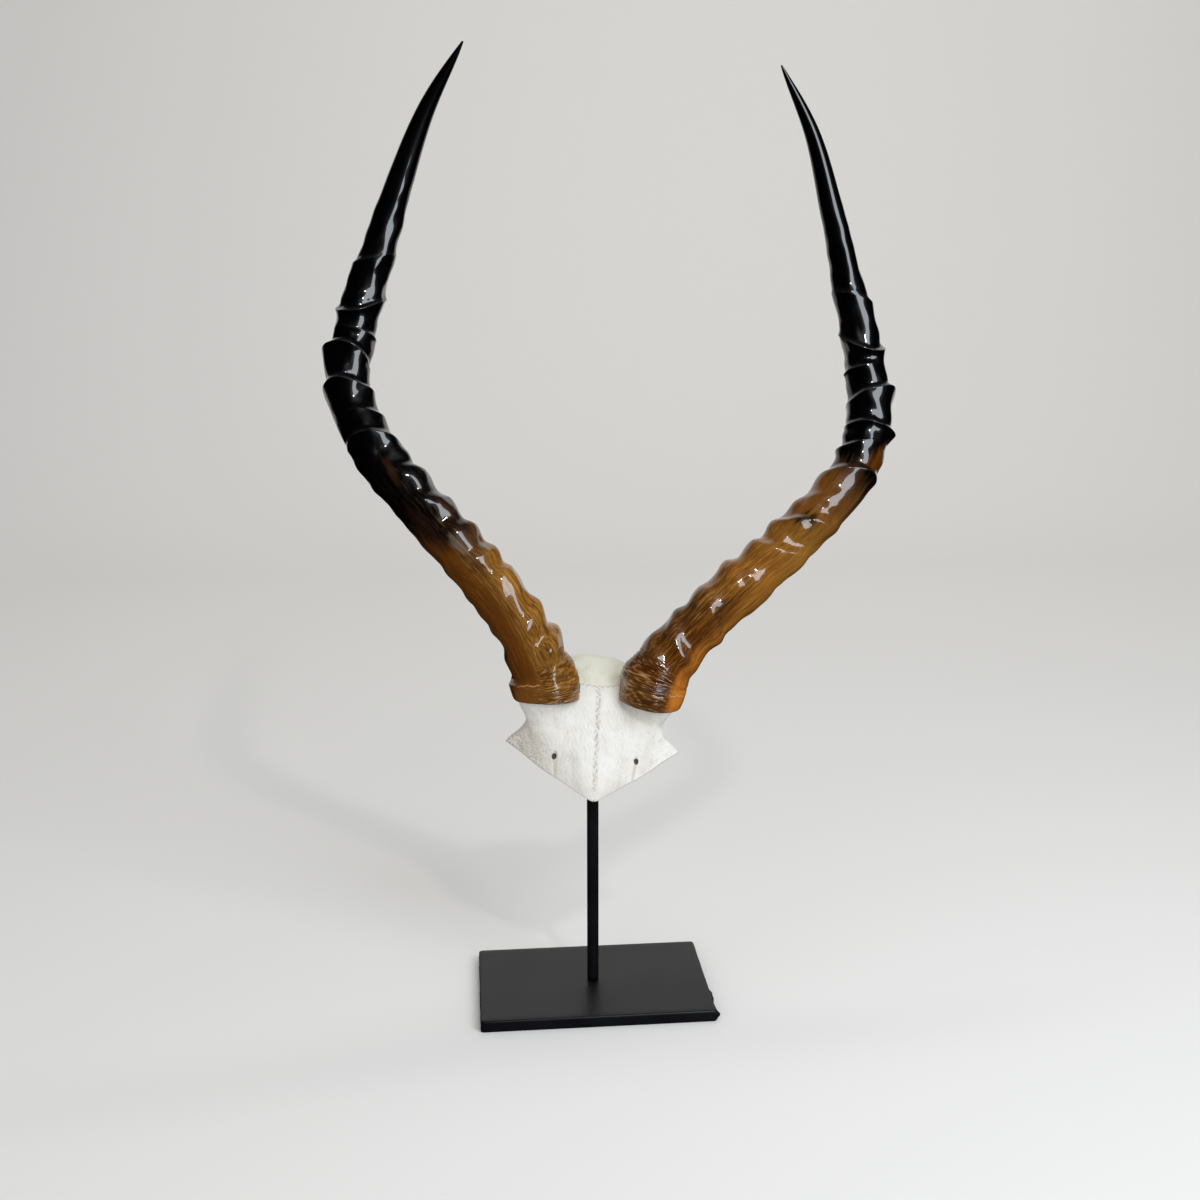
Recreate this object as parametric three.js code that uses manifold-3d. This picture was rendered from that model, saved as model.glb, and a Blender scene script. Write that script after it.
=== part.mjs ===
// Impala frontlet on a stand: two ringed, lyre-shaped horn sheaths on a sawn skull cap, held up
// by a round rod on a rectangular plate. Millimetres, +Z up. The origin is the middle of the
// plate's underside; +X is to the right and +Y away from a viewer who faces the brow.
import * as THREE from "three";
import { mergeVertices } from "three/addons/utils/BufferGeometryUtils.js";
import Module from "manifold-3d";

const wasm = await Module();
wasm.setup();

// ---- driving dimensions -------------------------------------------------------------------
const PLATE_WIDTH = 160;
const PLATE_DEPTH = 103;
const PLATE_THICKNESS = 8;
const PLATE_CORNER = 2;
const PLATE_BEVEL = 0.8;

const ROD_DIAMETER = 8;
const ROD_TOP = 186;

const TROPHY_ROLL = THREE.MathUtils.degToRad(4.2); // the skull sits slightly askew on its rod
const TROPHY_PIVOT_HEIGHT = 180;
const CLEARANCE = 0.35; // between bone and rod
const SHEATH_CLEARANCE = 0.6; // between bone and horn

// The saw cut is one plane. Skull measures are taken in it: x across, b back along the cut from
// its front point, and h square to it.
const CUT_TILT = THREE.MathUtils.degToRad(30.4);
const CUT_FRONT_Y = -28.8;
const CUT_FRONT_Z = 152.9;
const CUT_SWAY = 0.032; // the bone is a little uneven: it bears to the right as it goes back,
const CUT_DROP = 0.03; // and its right side lies lower
const ORBIT_BACK = 48; // b of the tips over the eye sockets
const ORBIT_HALF_WIDTH = 60.3;
const FRONT_POINT_ROUNDING = 2;
const SIDE_BOW = 0.96; // under 1 bows the V's sides outward
const NARROWEST = 0.5; // least half width and height of a section
const CAP_LENGTH = 123;
const OCCIPUT_START = 100; // b where the back of the braincase begins to round off

// [b, half width] behind the eye sockets, and [b, height over the cut] along the middle
const BRAINCASE_HALF_WIDTH = [[48, 60.3], [54, 53.5], [60, 47.5], [68, 44.5], [80, 41], [94, 38], [123, 35]];
const MIDLINE_HEIGHT = [[0, 0], [32, 18.7], [48, 28.2], [65, 37], [82, 36.2], [100, 32], [123, 28]];
const SIDE_POWER = 2.5; // how boxy a section is across
const CROWN_POWER = [[0, 1], [50, 1.05], [68, 1.5], [86, 2], [123, 2]]; // and upward

// Bony horn cores: [distance above the start of the horn's line, radius], with a waist under the
// rim of the sheath and a blunt top
const PEDICLE_PROFILE = [[-22, 14], [0, 18.8], [9, 13]];
const PEDICLE_HEIGHT = 9;
const BONE_BLEND = 11; // radius of the hollow where the core grows out of the skull

const FORAMEN_RADIUS = 1.6; // small holes over the eyes
const FORAMEN_DEPTH = 7;
const FORAMINA = [[28.3, 29], [-27.6, 29]]; // [x, b]

// Hollows of the underside: [x, b, half width, half length, depth]
const UNDERSIDE_HOLLOWS = [
  [0, 86, 26, 28, 8], // brain
  [37, 50, 9, 12, 6], // roof of the right eye socket
  [-37, 50, 9, 12, 6], // roof of the left eye socket
];

// Horn centre lines in the trophy's own frame, from the rim of the sheath to the tip
const HORN_LEFT_LINE = [
  [-34.3, 12, 217], [-36.5, 13, 228], [-43, 14.7, 240.5], [-55, 18, 261], [-70, 22.5, 280], [-87, 29, 297.5],
  [-121.5, 41.5, 330], [-155.5, 58.5, 364.5], [-178, 79, 405], [-175.5, 97.5, 452], [-163, 109, 499],
  [-151, 114, 546], [-134.5, 113, 596.5], [-112, 106, 641],
];
const HORN_RIGHT_LINE = [
  [39.8, 12, 220.5], [43, 13, 231.5], [50.5, 14.6, 243], [66, 17.5, 262], [102.5, 26.5, 299], [140, 38, 333],
  [172.5, 53.5, 368], [184, 64, 389.5], [188, 74.5, 412.5], [182.5, 92.5, 457], [169.5, 105.5, 505],
  [154, 111, 553], [134.5, 109.5, 602], [106.5, 102.5, 644],
];

// Radius of the bare horn along its line, as [fraction of its length, radius]
const HORN_RADIUS = [
  [-0.03, 22], [0, 21.9], [0.015, 21.6], [0.035, 19.8], [0.055, 18.8], [0.08, 17.8], [0.1, 17.4],
  [0.2, 16.8], [0.3, 16.2], [0.4, 15.8],
  [0.5, 14.8], [0.58, 14.1], [0.65, 13.1], [0.72, 11.3], [0.8, 9.2], [0.88, 6.8], [0.95, 4],
  [0.985, 1.9], [1, 0.7],
];
const HORN_OVAL = 1.08; // depth over width at the base

// Rings: distance from the rim to the crest on the inner side, in front and on the outer side,
// then the crest's height at the same three places.
const RINGS_LEFT = [
  [9, 0, 15, 2.6, 1.5, 2.2], [34, 24, 30, 5.5, 2, 1.2], [53, 46, 54, 3.2, 2, 1.4],
  [82, 78, 80, 3.2, 1.6, 0.5], [99, 101, 108, 2.6, 1.4, 1.4], [118, 127, 130, 3, 1.4, 0.4],
  [143.5, 154, 158, 2.8, 1.4, 0.4], [170, 181, 184, 3.2, 1.4, 0.5], [198, 214, 209, 3, 2.2, 0.8],
  [221.5, 231, 226, 1.5, 0.3, 0.2], [243.5, 254, 253, 2.1, 2.6, 2.8], [267, 279.5, 277, 1, 2.8, 4.8],
  [290.5, 292, 291, 2.2, 0.7, 0.3], [322, 305.5, 306, 2.4, 2.4, 2.8], [353, 346, 337, 0.8, 0.9, 1.8],
];
const RINGS_RIGHT = [
  [7, 3, 6, 2.2, 1.5, 0.4], [28, 14, 20, 2.4, 1, 1.2], [48, 31, 38, 2.6, 2.4, 0.8],
  [72, 61.5, 55, 2.4, 2.2, 2.2], [98, 98, 106, 2.8, 1.2, 2.8], [119, 131, 146, 3, 3, 0.5],
  [141, 161, 168, 2.4, 2.8, 0.8], [167, 186, 192, 1.6, 0.5, 0.3], [194, 210.5, 209, 2.8, 2.6, 1.2],
  [221, 233, 230, 2, 0.4, 0.2], [245, 246, 243.5, 1.4, 2.8, 4.2], [265, 272, 272.5, 1, 2.8, 4.8],
  [289, 290.5, 289, 2.2, 0.7, 0.3], [318.5, 301.5, 305, 2, 2.4, 3], [350, 343.5, 335.5, 0.8, 1, 1.8],
];
const RING_FLANK = 6.5; // the steep side of a ring, above its crest
const RING_SWELL = 1.6; // how late the horn swells below a crest
const LOWEST_RIM = -16; // the base swelling starts here

// The rim of each sheath, from its centre line's start: its middle height, how far it climbs
// towards the outer side, and how far it reaches down in front
const RIM_LEFT = { middle: -6, climb: 3.5, dip: -0.5 };
const RIM_RIGHT = { middle: -8.5, climb: 4, dip: 3 };
const SLIM_LEFT = 0; // how much thinner the upper half is
const SLIM_RIGHT = 0.1;

// ---- mesh density --------------------------------------------------------------------------
const HORN_SIDES = 20;
const TIP_ROWS = 7;
const SKULL_CELL = 5;
const SKULL_BOUNDS = [[-70, -7, -7], [70, 131, 83]]; // x, b, h
const HOLLOW_SIDES = 24;

// ---- small helpers -------------------------------------------------------------------------
// Smooth curve through [position, value] knots, flat beyond both ends
function alongKnots(knots, at) {
  const last = knots.length - 1;
  if (at <= knots[0][0]) return knots[0][1];
  if (at >= knots[last][0]) return knots[last][1];
  const slope = (i) => (knots[i + 1][1] - knots[i][1]) / (knots[i + 1][0] - knots[i][0]);
  const tangent = (i) => {
    if (i === 0) return slope(0);
    if (i === last) return slope(last - 1);
    return (slope(i - 1) + slope(i)) / 2;
  };
  const i = knots.findIndex((knot) => knot[0] > at) - 1;
  const span = knots[i + 1][0] - knots[i][0];
  const t = (at - knots[i][0]) / span;
  const start = knots[i][1] * (1 + 2 * t) * (1 - t) ** 2 + tangent(i) * span * t * (1 - t) ** 2;
  const end = knots[i + 1][1] * t * t * (3 - 2 * t) - tangent(i + 1) * span * t * t * (1 - t);
  return start + end;
}

// Smaller of two distances, with a rounded hollow of the given size where they are alike
function blendedMinimum(first, second, size) {
  const overlap = Math.max(size - Math.abs(first - second), 0) / size;
  return Math.min(first, second) - (overlap * overlap * size) / 4;
}

// Triangles between rings of points, each counted the same way round
function ringFaces(rows, columns) {
  const faces = [];
  for (let row = 0; row < rows - 1; row++) {
    for (let column = 0; column < columns; column++) {
      const a = row * columns + column;
      const b = row * columns + ((column + 1) % columns);
      faces.push([a, b, b + columns], [a, b + columns, a + columns]);
    }
  }
  return faces;
}

// Closed surface where a distance passes zero, in cubic cells between the corners low and high:
// each cell the surface crosses holds the mean of its crossings, and each crossed edge of the grid
// joins the four cells round it
function surfaceNet(distance, [low, high], cell) {
  const counts = low.map((start, axis) => Math.ceil((high[axis] - start) / cell) + 1);
  const steps = [1, counts[0], counts[0] * counts[1]];
  const place = (i, j, k) => [low[0] + i * cell, low[1] + j * cell, low[2] + k * cell];
  const values = [];
  const nodes = [];
  for (let k = 0; k < counts[2]; k++) {
    for (let j = 0; j < counts[1]; j++) {
      for (let i = 0; i < counts[0]; i++) {
        nodes.push([i, j, k]);
        values.push(distance(...place(i, j, k)));
      }
    }
  }
  const inner = ([i, j, k]) => i < counts[0] - 1 && j < counts[1] - 1 && k < counts[2] - 1;
  const points = [];
  const pointOfCell = new Map();
  nodes.forEach((node, at) => {
    if (!inner(node)) return;
    const crossings = cellCrossings(values, at, steps);
    if (crossings.length === 0) return;
    const mean = [0, 1, 2].map((axis) => {
      const sum = crossings.reduce((total, crossing) => total + crossing[axis], 0);
      return node[axis] + sum / crossings.length;
    });
    pointOfCell.set(at, points.push(place(...mean)) - 1);
  });
  const faces = [];
  nodes.forEach((node, at) => {
    if (!inner(node)) return;
    steps.forEach((step, axis) => {
      const leaving = values[at] < 0;
      if (leaving === values[at + step] < 0) return;
      const u = steps[(axis + 1) % 3];
      const v = steps[(axis + 2) % 3];
      const [a, b, c, d] = [at, at - u, at - u - v, at - v].map((corner) => pointOfCell.get(corner));
      faces.push(...(leaving ? [[a, b, c], [a, c, d]] : [[a, c, b], [a, d, c]]));
    });
  });
  return solidGeometry(points, faces);
}

// Where the edges of the cell at a grid node pass zero, in cells from that node
function cellCrossings(values, at, steps) {
  const crossings = [];
  for (let corner = 0; corner < 8; corner++) {
    const offset = [corner & 1, (corner >> 1) & 1, corner >> 2];
    const start = at + offset[0] * steps[0] + offset[1] * steps[1] + offset[2] * steps[2];
    const from = values[start];
    for (let axis = 0; axis < 3; axis++) {
      if (offset[axis] === 1) continue;
      const to = values[start + steps[axis]];
      if (from < 0 === to < 0) continue;
      const crossing = [...offset];
      crossing[axis] = from / (from - to);
      crossings.push(crossing);
    }
  }
  return crossings;
}

function solidGeometry(points, faces, flip = false) {
  const geometry = new THREE.BufferGeometry();
  const order = flip ? faces.map(([a, b, c]) => [a, c, b]) : faces;
  geometry.setAttribute("position", new THREE.Float32BufferAttribute(points.flat(), 3));
  geometry.setIndex(order.flat());
  return geometry;
}

// Geometry to an exact solid and back, for cuts between pieces
function toManifold(geometry) {
  const bare = geometry.clone();
  bare.deleteAttribute("normal");
  bare.deleteAttribute("uv");
  const merged = mergeVertices(bare, 1e-4);
  const vertProperties = new Float32Array(merged.attributes.position.array);
  const triVerts = new Uint32Array(merged.index.array);
  return new wasm.Manifold(new wasm.Mesh({ numProp: 3, vertProperties, triVerts }));
}

function fromManifold(solid) {
  const { vertProperties, triVerts } = solid.getMesh();
  const geometry = new THREE.BufferGeometry();
  geometry.setAttribute("position", new THREE.BufferAttribute(new Float32Array(vertProperties), 3));
  geometry.setIndex(new THREE.BufferAttribute(new Uint32Array(triVerts), 1));
  geometry.computeVertexNormals();
  return geometry;
}

// ---- horns ---------------------------------------------------------------------------------
function hornLine(points) {
  const vectors = points.map((point) => new THREE.Vector3(...point));
  const curve = new THREE.CatmullRomCurve3(vectors, false, "centripetal");
  curve.arcLengthDivisions = 2000;
  return curve;
}

// Centre, front and outer directions at a distance from the rim; straight on below the rim
function hornStation(horn, distance) {
  const at = THREE.MathUtils.clamp(distance / horn.length, 0, 1);
  const centre = horn.line.getPointAt(at);
  const tangent = horn.line.getTangentAt(at);
  if (distance < 0) centre.addScaledVector(tangent, distance);
  const front = new THREE.Vector3(0, -1, 0).addScaledVector(tangent, tangent.y).normalize();
  const outer = new THREE.Vector3().crossVectors(tangent, front).multiplyScalar(horn.side);
  return { centre, tangent, front, outer };
}

// A value given on the inner side, in front and on the outer side, carried round the horn. The
// back has the mean of the sides, less part of what the front adds to it.
function aroundHorn(inner, front, outer, backShare, angle) {
  const sides = (inner + outer) / 2;
  const back = sides - backShare * (front - sides);
  const mean = (2 * sides + front + back) / 4;
  const waist = (front + back - 2 * sides) / 4;
  const lengthwise = ((front - back) / 2) * Math.cos(angle);
  return mean + lengthwise + ((outer - inner) / 2) * Math.sin(angle) + waist * Math.cos(2 * angle);
}

function crestStation(ring, angle) {
  return aroundHorn(ring[0], ring[1], ring[2], 0.5, angle);
}

function crestHeight(ring, angle) {
  return Math.max(aroundHorn(ring[3], ring[4], ring[5], 0.2, angle), 0);
}

// Height of the rings over the bare horn: a slow swell up to each crest, and a steep flank above
function ringRelief(rings, distance, angle) {
  let relief = 0;
  for (let k = 0; k <= rings.length; k++) {
    const below = k > 0 ? crestStation(rings[k - 1], angle) : LOWEST_RIM;
    const above = k < rings.length ? crestStation(rings[k], angle) : Infinity;
    if (distance < below || distance >= above) continue;
    const flank = Math.min(RING_FLANK, 0.4 * (above - below));
    const fall = THREE.MathUtils.smoothstep((distance - below) / flank, 0, 1);
    if (k > 0) relief += crestHeight(rings[k - 1], angle) * (1 - fall);
    if (k < rings.length) {
      const start = k > 0 ? flank : 0;
      const rise = Math.max((distance - below - start) / (above - below - start), 0);
      relief += crestHeight(rings[k], angle) * rise ** RING_SWELL;
    }
  }
  return relief;
}

function hornPoint(horn, distance, angle) {
  const { centre, front, outer } = hornStation(horn, distance);
  const along = distance / horn.length;
  const slimming = 1 - horn.slim * THREE.MathUtils.smoothstep(along, 0.5, 0.8);
  const bare = alongKnots(HORN_RADIUS, along) * slimming;
  const radius = bare + ringRelief(horn.rings, distance, angle);
  const oval = THREE.MathUtils.lerp(HORN_OVAL, 1, THREE.MathUtils.clamp(along * 2, 0, 1));
  centre.addScaledVector(front, radius * oval * Math.cos(angle));
  centre.addScaledVector(outer, radius * Math.sin(angle));
  return centre.toArray();
}

// Stations of one lengthwise line of the horn's mesh: three for each ring, then the smooth tip
function hornRows(horn, angle) {
  const { middle, climb, dip } = horn.rim;
  const rim = middle + climb * Math.sin(angle) - dip * Math.cos(angle);
  const rows = [rim];
  let below = rim;
  horn.rings.forEach((ring, k) => {
    const crest = Math.max(crestStation(ring, angle), below + 2);
    const flank = k > 0 ? Math.min(RING_FLANK, 0.4 * (crest - below)) : 0;
    if (k > 0) rows.push(below + flank);
    rows.push(below + flank + 0.55 * (crest - below - flank), crest);
    below = crest;
  });
  const smooth = below + RING_FLANK;
  for (let row = 0; row <= TIP_ROWS; row++) {
    const share = Math.sin(((row / TIP_ROWS) * Math.PI) / 2);
    rows.push(smooth + (horn.length - smooth) * share);
  }
  return rows;
}

// Closed horn: rings of points from the rim to the tip, with a fan over each end
function hornSolid(horn) {
  const columns = [];
  for (let side = 0; side < HORN_SIDES; side++) {
    const angle = (side / HORN_SIDES) * 2 * Math.PI;
    columns.push(hornRows(horn, angle).map((distance) => hornPoint(horn, distance, angle)));
  }
  const rows = columns[0].length;
  const points = [];
  for (let row = 0; row < rows; row++) {
    columns.forEach((column) => points.push(column[row]));
  }
  const faces = ringFaces(rows, HORN_SIDES);
  const foot = points.push(hornStation(horn, horn.rim.middle).centre.toArray()) - 1;
  const end = hornStation(horn, horn.length);
  const tip = points.push(end.centre.addScaledVector(end.tangent, 0.6).toArray()) - 1;
  const lastRow = (rows - 1) * HORN_SIDES;
  for (let side = 0; side < HORN_SIDES; side++) {
    const next = (side + 1) % HORN_SIDES;
    faces.push([foot, next, side], [tip, lastRow + side, lastRow + next]);
  }
  return solidGeometry(points, faces, horn.side < 0);
}

// ---- skull cap -----------------------------------------------------------------------------
function skullPoint(x, b, h) {
  return new THREE.Vector3(
    x + CUT_SWAY * b,
    CUT_FRONT_Y + b * Math.cos(CUT_TILT) - h * Math.sin(CUT_TILT),
    CUT_FRONT_Z + b * Math.sin(CUT_TILT) + h * Math.cos(CUT_TILT) - CUT_DROP * x,
  );
}

// Quarter ellipse that rounds off the back of the braincase
function occiput(b) {
  const share = THREE.MathUtils.clamp((b - OCCIPUT_START) / (CAP_LENGTH - OCCIPUT_START), 0, 1);
  return Math.sqrt(Math.max(1 - share * share, 1e-4));
}

// Half width of the cut: a V with a rounded point up to the eye sockets, then the braincase
function capHalfWidth(b) {
  const rounded = (at) => Math.sqrt((at + FRONT_POINT_ROUNDING) ** 2 - FRONT_POINT_ROUNDING ** 2);
  if (b <= ORBIT_BACK) return ORBIT_HALF_WIDTH * (rounded(Math.max(b, 0)) / rounded(ORBIT_BACK)) ** SIDE_BOW;
  return alongKnots(BRAINCASE_HALF_WIDTH, b) * occiput(b);
}

// Distance to the bare cap: an arch across, |x / width|^side + |h / height|^crown = 1
function capDistance(x, b, h) {
  const width = Math.max(capHalfWidth(b), NARROWEST);
  const height = Math.max(alongKnots(MIDLINE_HEIGHT, b) * occiput(b), NARROWEST);
  const crown = alongKnots(CROWN_POWER, b);
  const across = Math.abs(x / width) ** SIDE_POWER;
  const up = Math.sign(h) * (Math.abs(h) / height) ** crown;
  return Math.max(((across + up - 1) * height) / crown, -b, b - CAP_LENGTH);
}

// Distance to a bony horn core: a cone with a waist below the sheath's rim and a blunt top
function pedicleDistance(point, horn) {
  const { centre, tangent } = hornStation(horn, 0);
  const offset = point.clone().sub(centre);
  const along = offset.dot(tangent);
  const out = offset.addScaledVector(tangent, -along).length();
  return Math.max(out - alongKnots(PEDICLE_PROFILE, along), along - PEDICLE_HEIGHT);
}

function skullDistance(x, b, h) {
  const point = skullPoint(x, b, h);
  const cores = Math.min(...horns.map((horn) => pedicleDistance(point, horn)));
  return blendedMinimum(capDistance(x, b, h), cores, BONE_BLEND);
}

// Turns skull measures x, b, h into the trophy's own frame
const skullMatrix = new THREE.Matrix4().makeBasis(
  skullPoint(1, 0, 0).sub(skullPoint(0, 0, 0)),
  skullPoint(0, 1, 0).sub(skullPoint(0, 0, 0)),
  skullPoint(0, 0, 1).sub(skullPoint(0, 0, 0)),
).setPosition(skullPoint(0, 0, 0));

// The bone as a solid, larger all round by a margin: the outer surface, cut off flat and hollowed
// from below
function skullSolid(margin) {
  const outer = surfaceNet((x, b, h) => skullDistance(x, b, h) - margin, SKULL_BOUNDS, SKULL_CELL);
  const [low, high] = SKULL_BOUNDS;
  const below = new THREE.BoxGeometry(high[0] - low[0], high[1] - low[1], -low[2]);
  below.translate((low[0] + high[0]) / 2, (low[1] + high[1]) / 2, low[2] / 2 - margin);
  const hollows = UNDERSIDE_HOLLOWS.map(([x, b, halfWidth, halfLength, depth]) => {
    const hollow = new THREE.SphereGeometry(1, HOLLOW_SIDES, HOLLOW_SIDES / 2);
    return hollow.scale(halfWidth, halfLength, depth).translate(x, b, 0);
  });
  return [below, ...hollows].reduce(
    (bone, cut) => bone.subtract(toManifold(cut.applyMatrix4(skullMatrix))),
    toManifold(outer.applyMatrix4(skullMatrix)),
  );
}

// ---- pieces --------------------------------------------------------------------------------
function rodGeometry(radius, from, to) {
  const geometry = new THREE.CylinderGeometry(radius, radius, to - from, 32);
  geometry.rotateX(Math.PI / 2);
  geometry.translate(0, 0, (from + to) / 2);
  return geometry;
}

function plateGeometry() {
  const halfWidth = PLATE_WIDTH / 2 - PLATE_BEVEL;
  const halfDepth = PLATE_DEPTH / 2 - PLATE_BEVEL;
  const corner = PLATE_CORNER - PLATE_BEVEL;
  const outline = new THREE.Shape();
  outline.moveTo(-halfWidth + corner, -halfDepth);
  outline.lineTo(halfWidth - corner, -halfDepth);
  outline.absarc(halfWidth - corner, -halfDepth + corner, corner, -Math.PI / 2, 0);
  outline.absarc(halfWidth - corner, halfDepth - corner, corner, 0, Math.PI / 2);
  outline.absarc(-halfWidth + corner, halfDepth - corner, corner, Math.PI / 2, Math.PI);
  outline.absarc(-halfWidth + corner, -halfDepth + corner, corner, Math.PI, 1.5 * Math.PI);
  const geometry = new THREE.ExtrudeGeometry(outline, {
    depth: PLATE_THICKNESS - 2 * PLATE_BEVEL,
    curveSegments: 4,
    bevelThickness: PLATE_BEVEL,
    bevelSize: PLATE_BEVEL,
    bevelSegments: 2,
  });
  geometry.translate(0, 0, PLATE_BEVEL);
  return geometry;
}

// Small holes over the eyes, drilled in from the front towards the brain
function foramenGeometry([x, b]) {
  const geometry = new THREE.CylinderGeometry(FORAMEN_RADIUS, FORAMEN_RADIUS, 2 * FORAMEN_DEPTH, 12);
  const mouth = skullPoint(x, b, surfaceHeight(x, b));
  const inward = skullPoint(0, CAP_LENGTH / 2, 0).sub(mouth).normalize();
  const turn = new THREE.Quaternion().setFromUnitVectors(new THREE.Vector3(0, 1, 0), inward);
  geometry.applyQuaternion(turn);
  geometry.translate(...mouth.toArray());
  return geometry;
}

// Height of the bone over the cut at x and b
function surfaceHeight(x, b) {
  let low = 0;
  let high = 60;
  for (let halving = 0; halving < 24; halving++) {
    const middle = (low + high) / 2;
    if (skullDistance(x, b, middle) > 0) high = middle;
    else low = middle;
  }
  return low;
}

function makeHorn(points, rings, rim, slim, side) {
  const line = hornLine(points);
  return { line, rings, rim, slim, side, length: line.getLength() };
}

function piece(name, geometry, material) {
  const mesh = new THREE.Mesh(geometry, material);
  mesh.name = name;
  return mesh;
}

const hornLeft = makeHorn(HORN_LEFT_LINE, RINGS_LEFT, RIM_LEFT, SLIM_LEFT, -1);
const hornRight = makeHorn(HORN_RIGHT_LINE, RINGS_RIGHT, RIM_RIGHT, SLIM_RIGHT, 1);
const horns = [hornLeft, hornRight];

const blackSteel = new THREE.MeshStandardMaterial({ color: 0x17171a, roughness: 0.45, metalness: 0.3 });
const bone = new THREE.MeshStandardMaterial({ color: 0xe9e6dc, roughness: 0.55, metalness: 0 });
const lacqueredHorn = new THREE.MeshStandardMaterial({ color: 0x5a3512, roughness: 0.15, metalness: 0 });

// The rod stands upright, so its hole is turned back by the trophy's roll before it is cut
function rodHole() {
  const hole = rodGeometry(ROD_DIAMETER / 2 + CLEARANCE, PLATE_THICKNESS, ROD_TOP + CLEARANCE);
  hole.translate(0, 0, -TROPHY_PIVOT_HEIGHT);
  hole.rotateY(-TROPHY_ROLL);
  hole.translate(0, 0, TROPHY_PIVOT_HEIGHT);
  return toManifold(hole);
}

const drilled = [rodHole(), ...FORAMINA.map((place) => toManifold(foramenGeometry(place)))];
const skull = drilled.reduce((rest, hole) => rest.subtract(hole), skullSolid(0));
const skullWithGap = skullSolid(SHEATH_CLEARANCE);

// A horn hollowed by its core; crumbs that the cut leaves over are dropped
function sheath(horn) {
  const bodies = toManifold(hornSolid(horn)).subtract(skullWithGap).decompose();
  return bodies.reduce((largest, body) => (body.volume() > largest.volume() ? body : largest));
}

const trophy = new THREE.Group();
trophy.add(
  piece("skull_cap", fromManifold(skull), bone),
  piece("horn_left", fromManifold(sheath(hornLeft)), lacqueredHorn),
  piece("horn_right", fromManifold(sheath(hornRight)), lacqueredHorn),
);
// Geometry is about the part's origin, so the roll about the pivot is a turn and a shift
trophy.rotation.y = TROPHY_ROLL;
trophy.position.set(
  -TROPHY_PIVOT_HEIGHT * Math.sin(TROPHY_ROLL),
  0,
  TROPHY_PIVOT_HEIGHT * (1 - Math.cos(TROPHY_ROLL)),
);

const model = new THREE.Group();
model.add(
  piece("base_plate", plateGeometry(), blackSteel),
  piece("stand_rod", rodGeometry(ROD_DIAMETER / 2, PLATE_THICKNESS, ROD_TOP), blackSteel),
  trophy,
);

export default model;
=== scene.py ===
from math import atan2, cos, pi, radians, sin

import bpy
import numpy as np
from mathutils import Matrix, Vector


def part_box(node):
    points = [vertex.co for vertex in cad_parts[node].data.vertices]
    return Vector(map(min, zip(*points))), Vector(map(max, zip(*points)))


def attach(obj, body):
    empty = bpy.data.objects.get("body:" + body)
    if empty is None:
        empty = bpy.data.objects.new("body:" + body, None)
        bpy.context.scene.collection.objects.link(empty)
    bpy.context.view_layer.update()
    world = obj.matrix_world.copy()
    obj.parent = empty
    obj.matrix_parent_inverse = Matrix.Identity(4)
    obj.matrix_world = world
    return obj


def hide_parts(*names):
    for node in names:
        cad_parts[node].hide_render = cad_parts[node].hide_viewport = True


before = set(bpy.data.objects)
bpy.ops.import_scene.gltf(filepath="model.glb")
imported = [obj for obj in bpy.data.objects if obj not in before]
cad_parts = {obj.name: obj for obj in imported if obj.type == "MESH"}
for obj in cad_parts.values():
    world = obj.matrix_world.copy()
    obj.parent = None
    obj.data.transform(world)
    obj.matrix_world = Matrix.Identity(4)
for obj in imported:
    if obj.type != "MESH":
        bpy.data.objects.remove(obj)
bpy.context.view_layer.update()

# Impala horns on a sawn skull cap, held up by a rod on a black plate. Shapes are worked out in
# millimetres and put into the meshes in metres. +Z is up and the brow faces -Y.
MM = 0.001

# ---- sizes shared with the solids ----
TROPHY_ROLL = radians(4.2)  # the skull sits slightly askew on its rod
TROPHY_PIVOT_HEIGHT = 180
SHEATH_CLEARANCE = 0.6  # between bone and horn

# The saw cut is one plane. Skull measures are taken in it: x across, b back along the cut from
# its front point, and h square to it.
CUT_TILT = radians(30.4)
CUT_FRONT_Y = -28.8
CUT_FRONT_Z = 152.9
CUT_SWAY = 0.032
CUT_DROP = 0.03
ORBIT_BACK = 48
ORBIT_HALF_WIDTH = 60.3
FRONT_POINT_ROUNDING = 2
SIDE_BOW = 0.96
NARROWEST = 0.5
CAP_LENGTH = 123
OCCIPUT_START = 100
BRAINCASE_HALF_WIDTH = [(48, 60.3), (54, 53.5), (60, 47.5), (68, 44.5), (80, 41), (94, 38), (123, 35)]
MIDLINE_HEIGHT = [(0, 0), (32, 18.7), (48, 28.2), (65, 37), (82, 36.2), (100, 32), (123, 28)]
SIDE_POWER = 2.5
CROWN_POWER = [(0, 1), (50, 1.05), (68, 1.5), (86, 2), (123, 2)]
PEDICLE_PROFILE = [(-22, 14), (0, 18.8), (9, 13)]
PEDICLE_HEIGHT = 9
BONE_BLEND = 11
FORAMINA = [(28.3, 29), (-27.6, 29)]  # x, b of the small holes over the eyes
UNDERSIDE_HOLLOWS = [(0, 86, 26, 28, 8), (37, 50, 9, 12, 6), (-37, 50, 9, 12, 6)]

HORN_RADIUS = [
    (-0.03, 22), (0, 21.9), (0.015, 21.6), (0.035, 19.8), (0.055, 18.8), (0.08, 17.8), (0.1, 17.4),
    (0.2, 16.8), (0.3, 16.2), (0.4, 15.8), (0.5, 14.8), (0.58, 14.1), (0.65, 13.1), (0.72, 11.3),
    (0.8, 9.2), (0.88, 6.8), (0.95, 4), (0.985, 1.9), (1, 0.7),
]
HORN_OVAL = 1.08
LOWEST_RIM = -16

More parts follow.
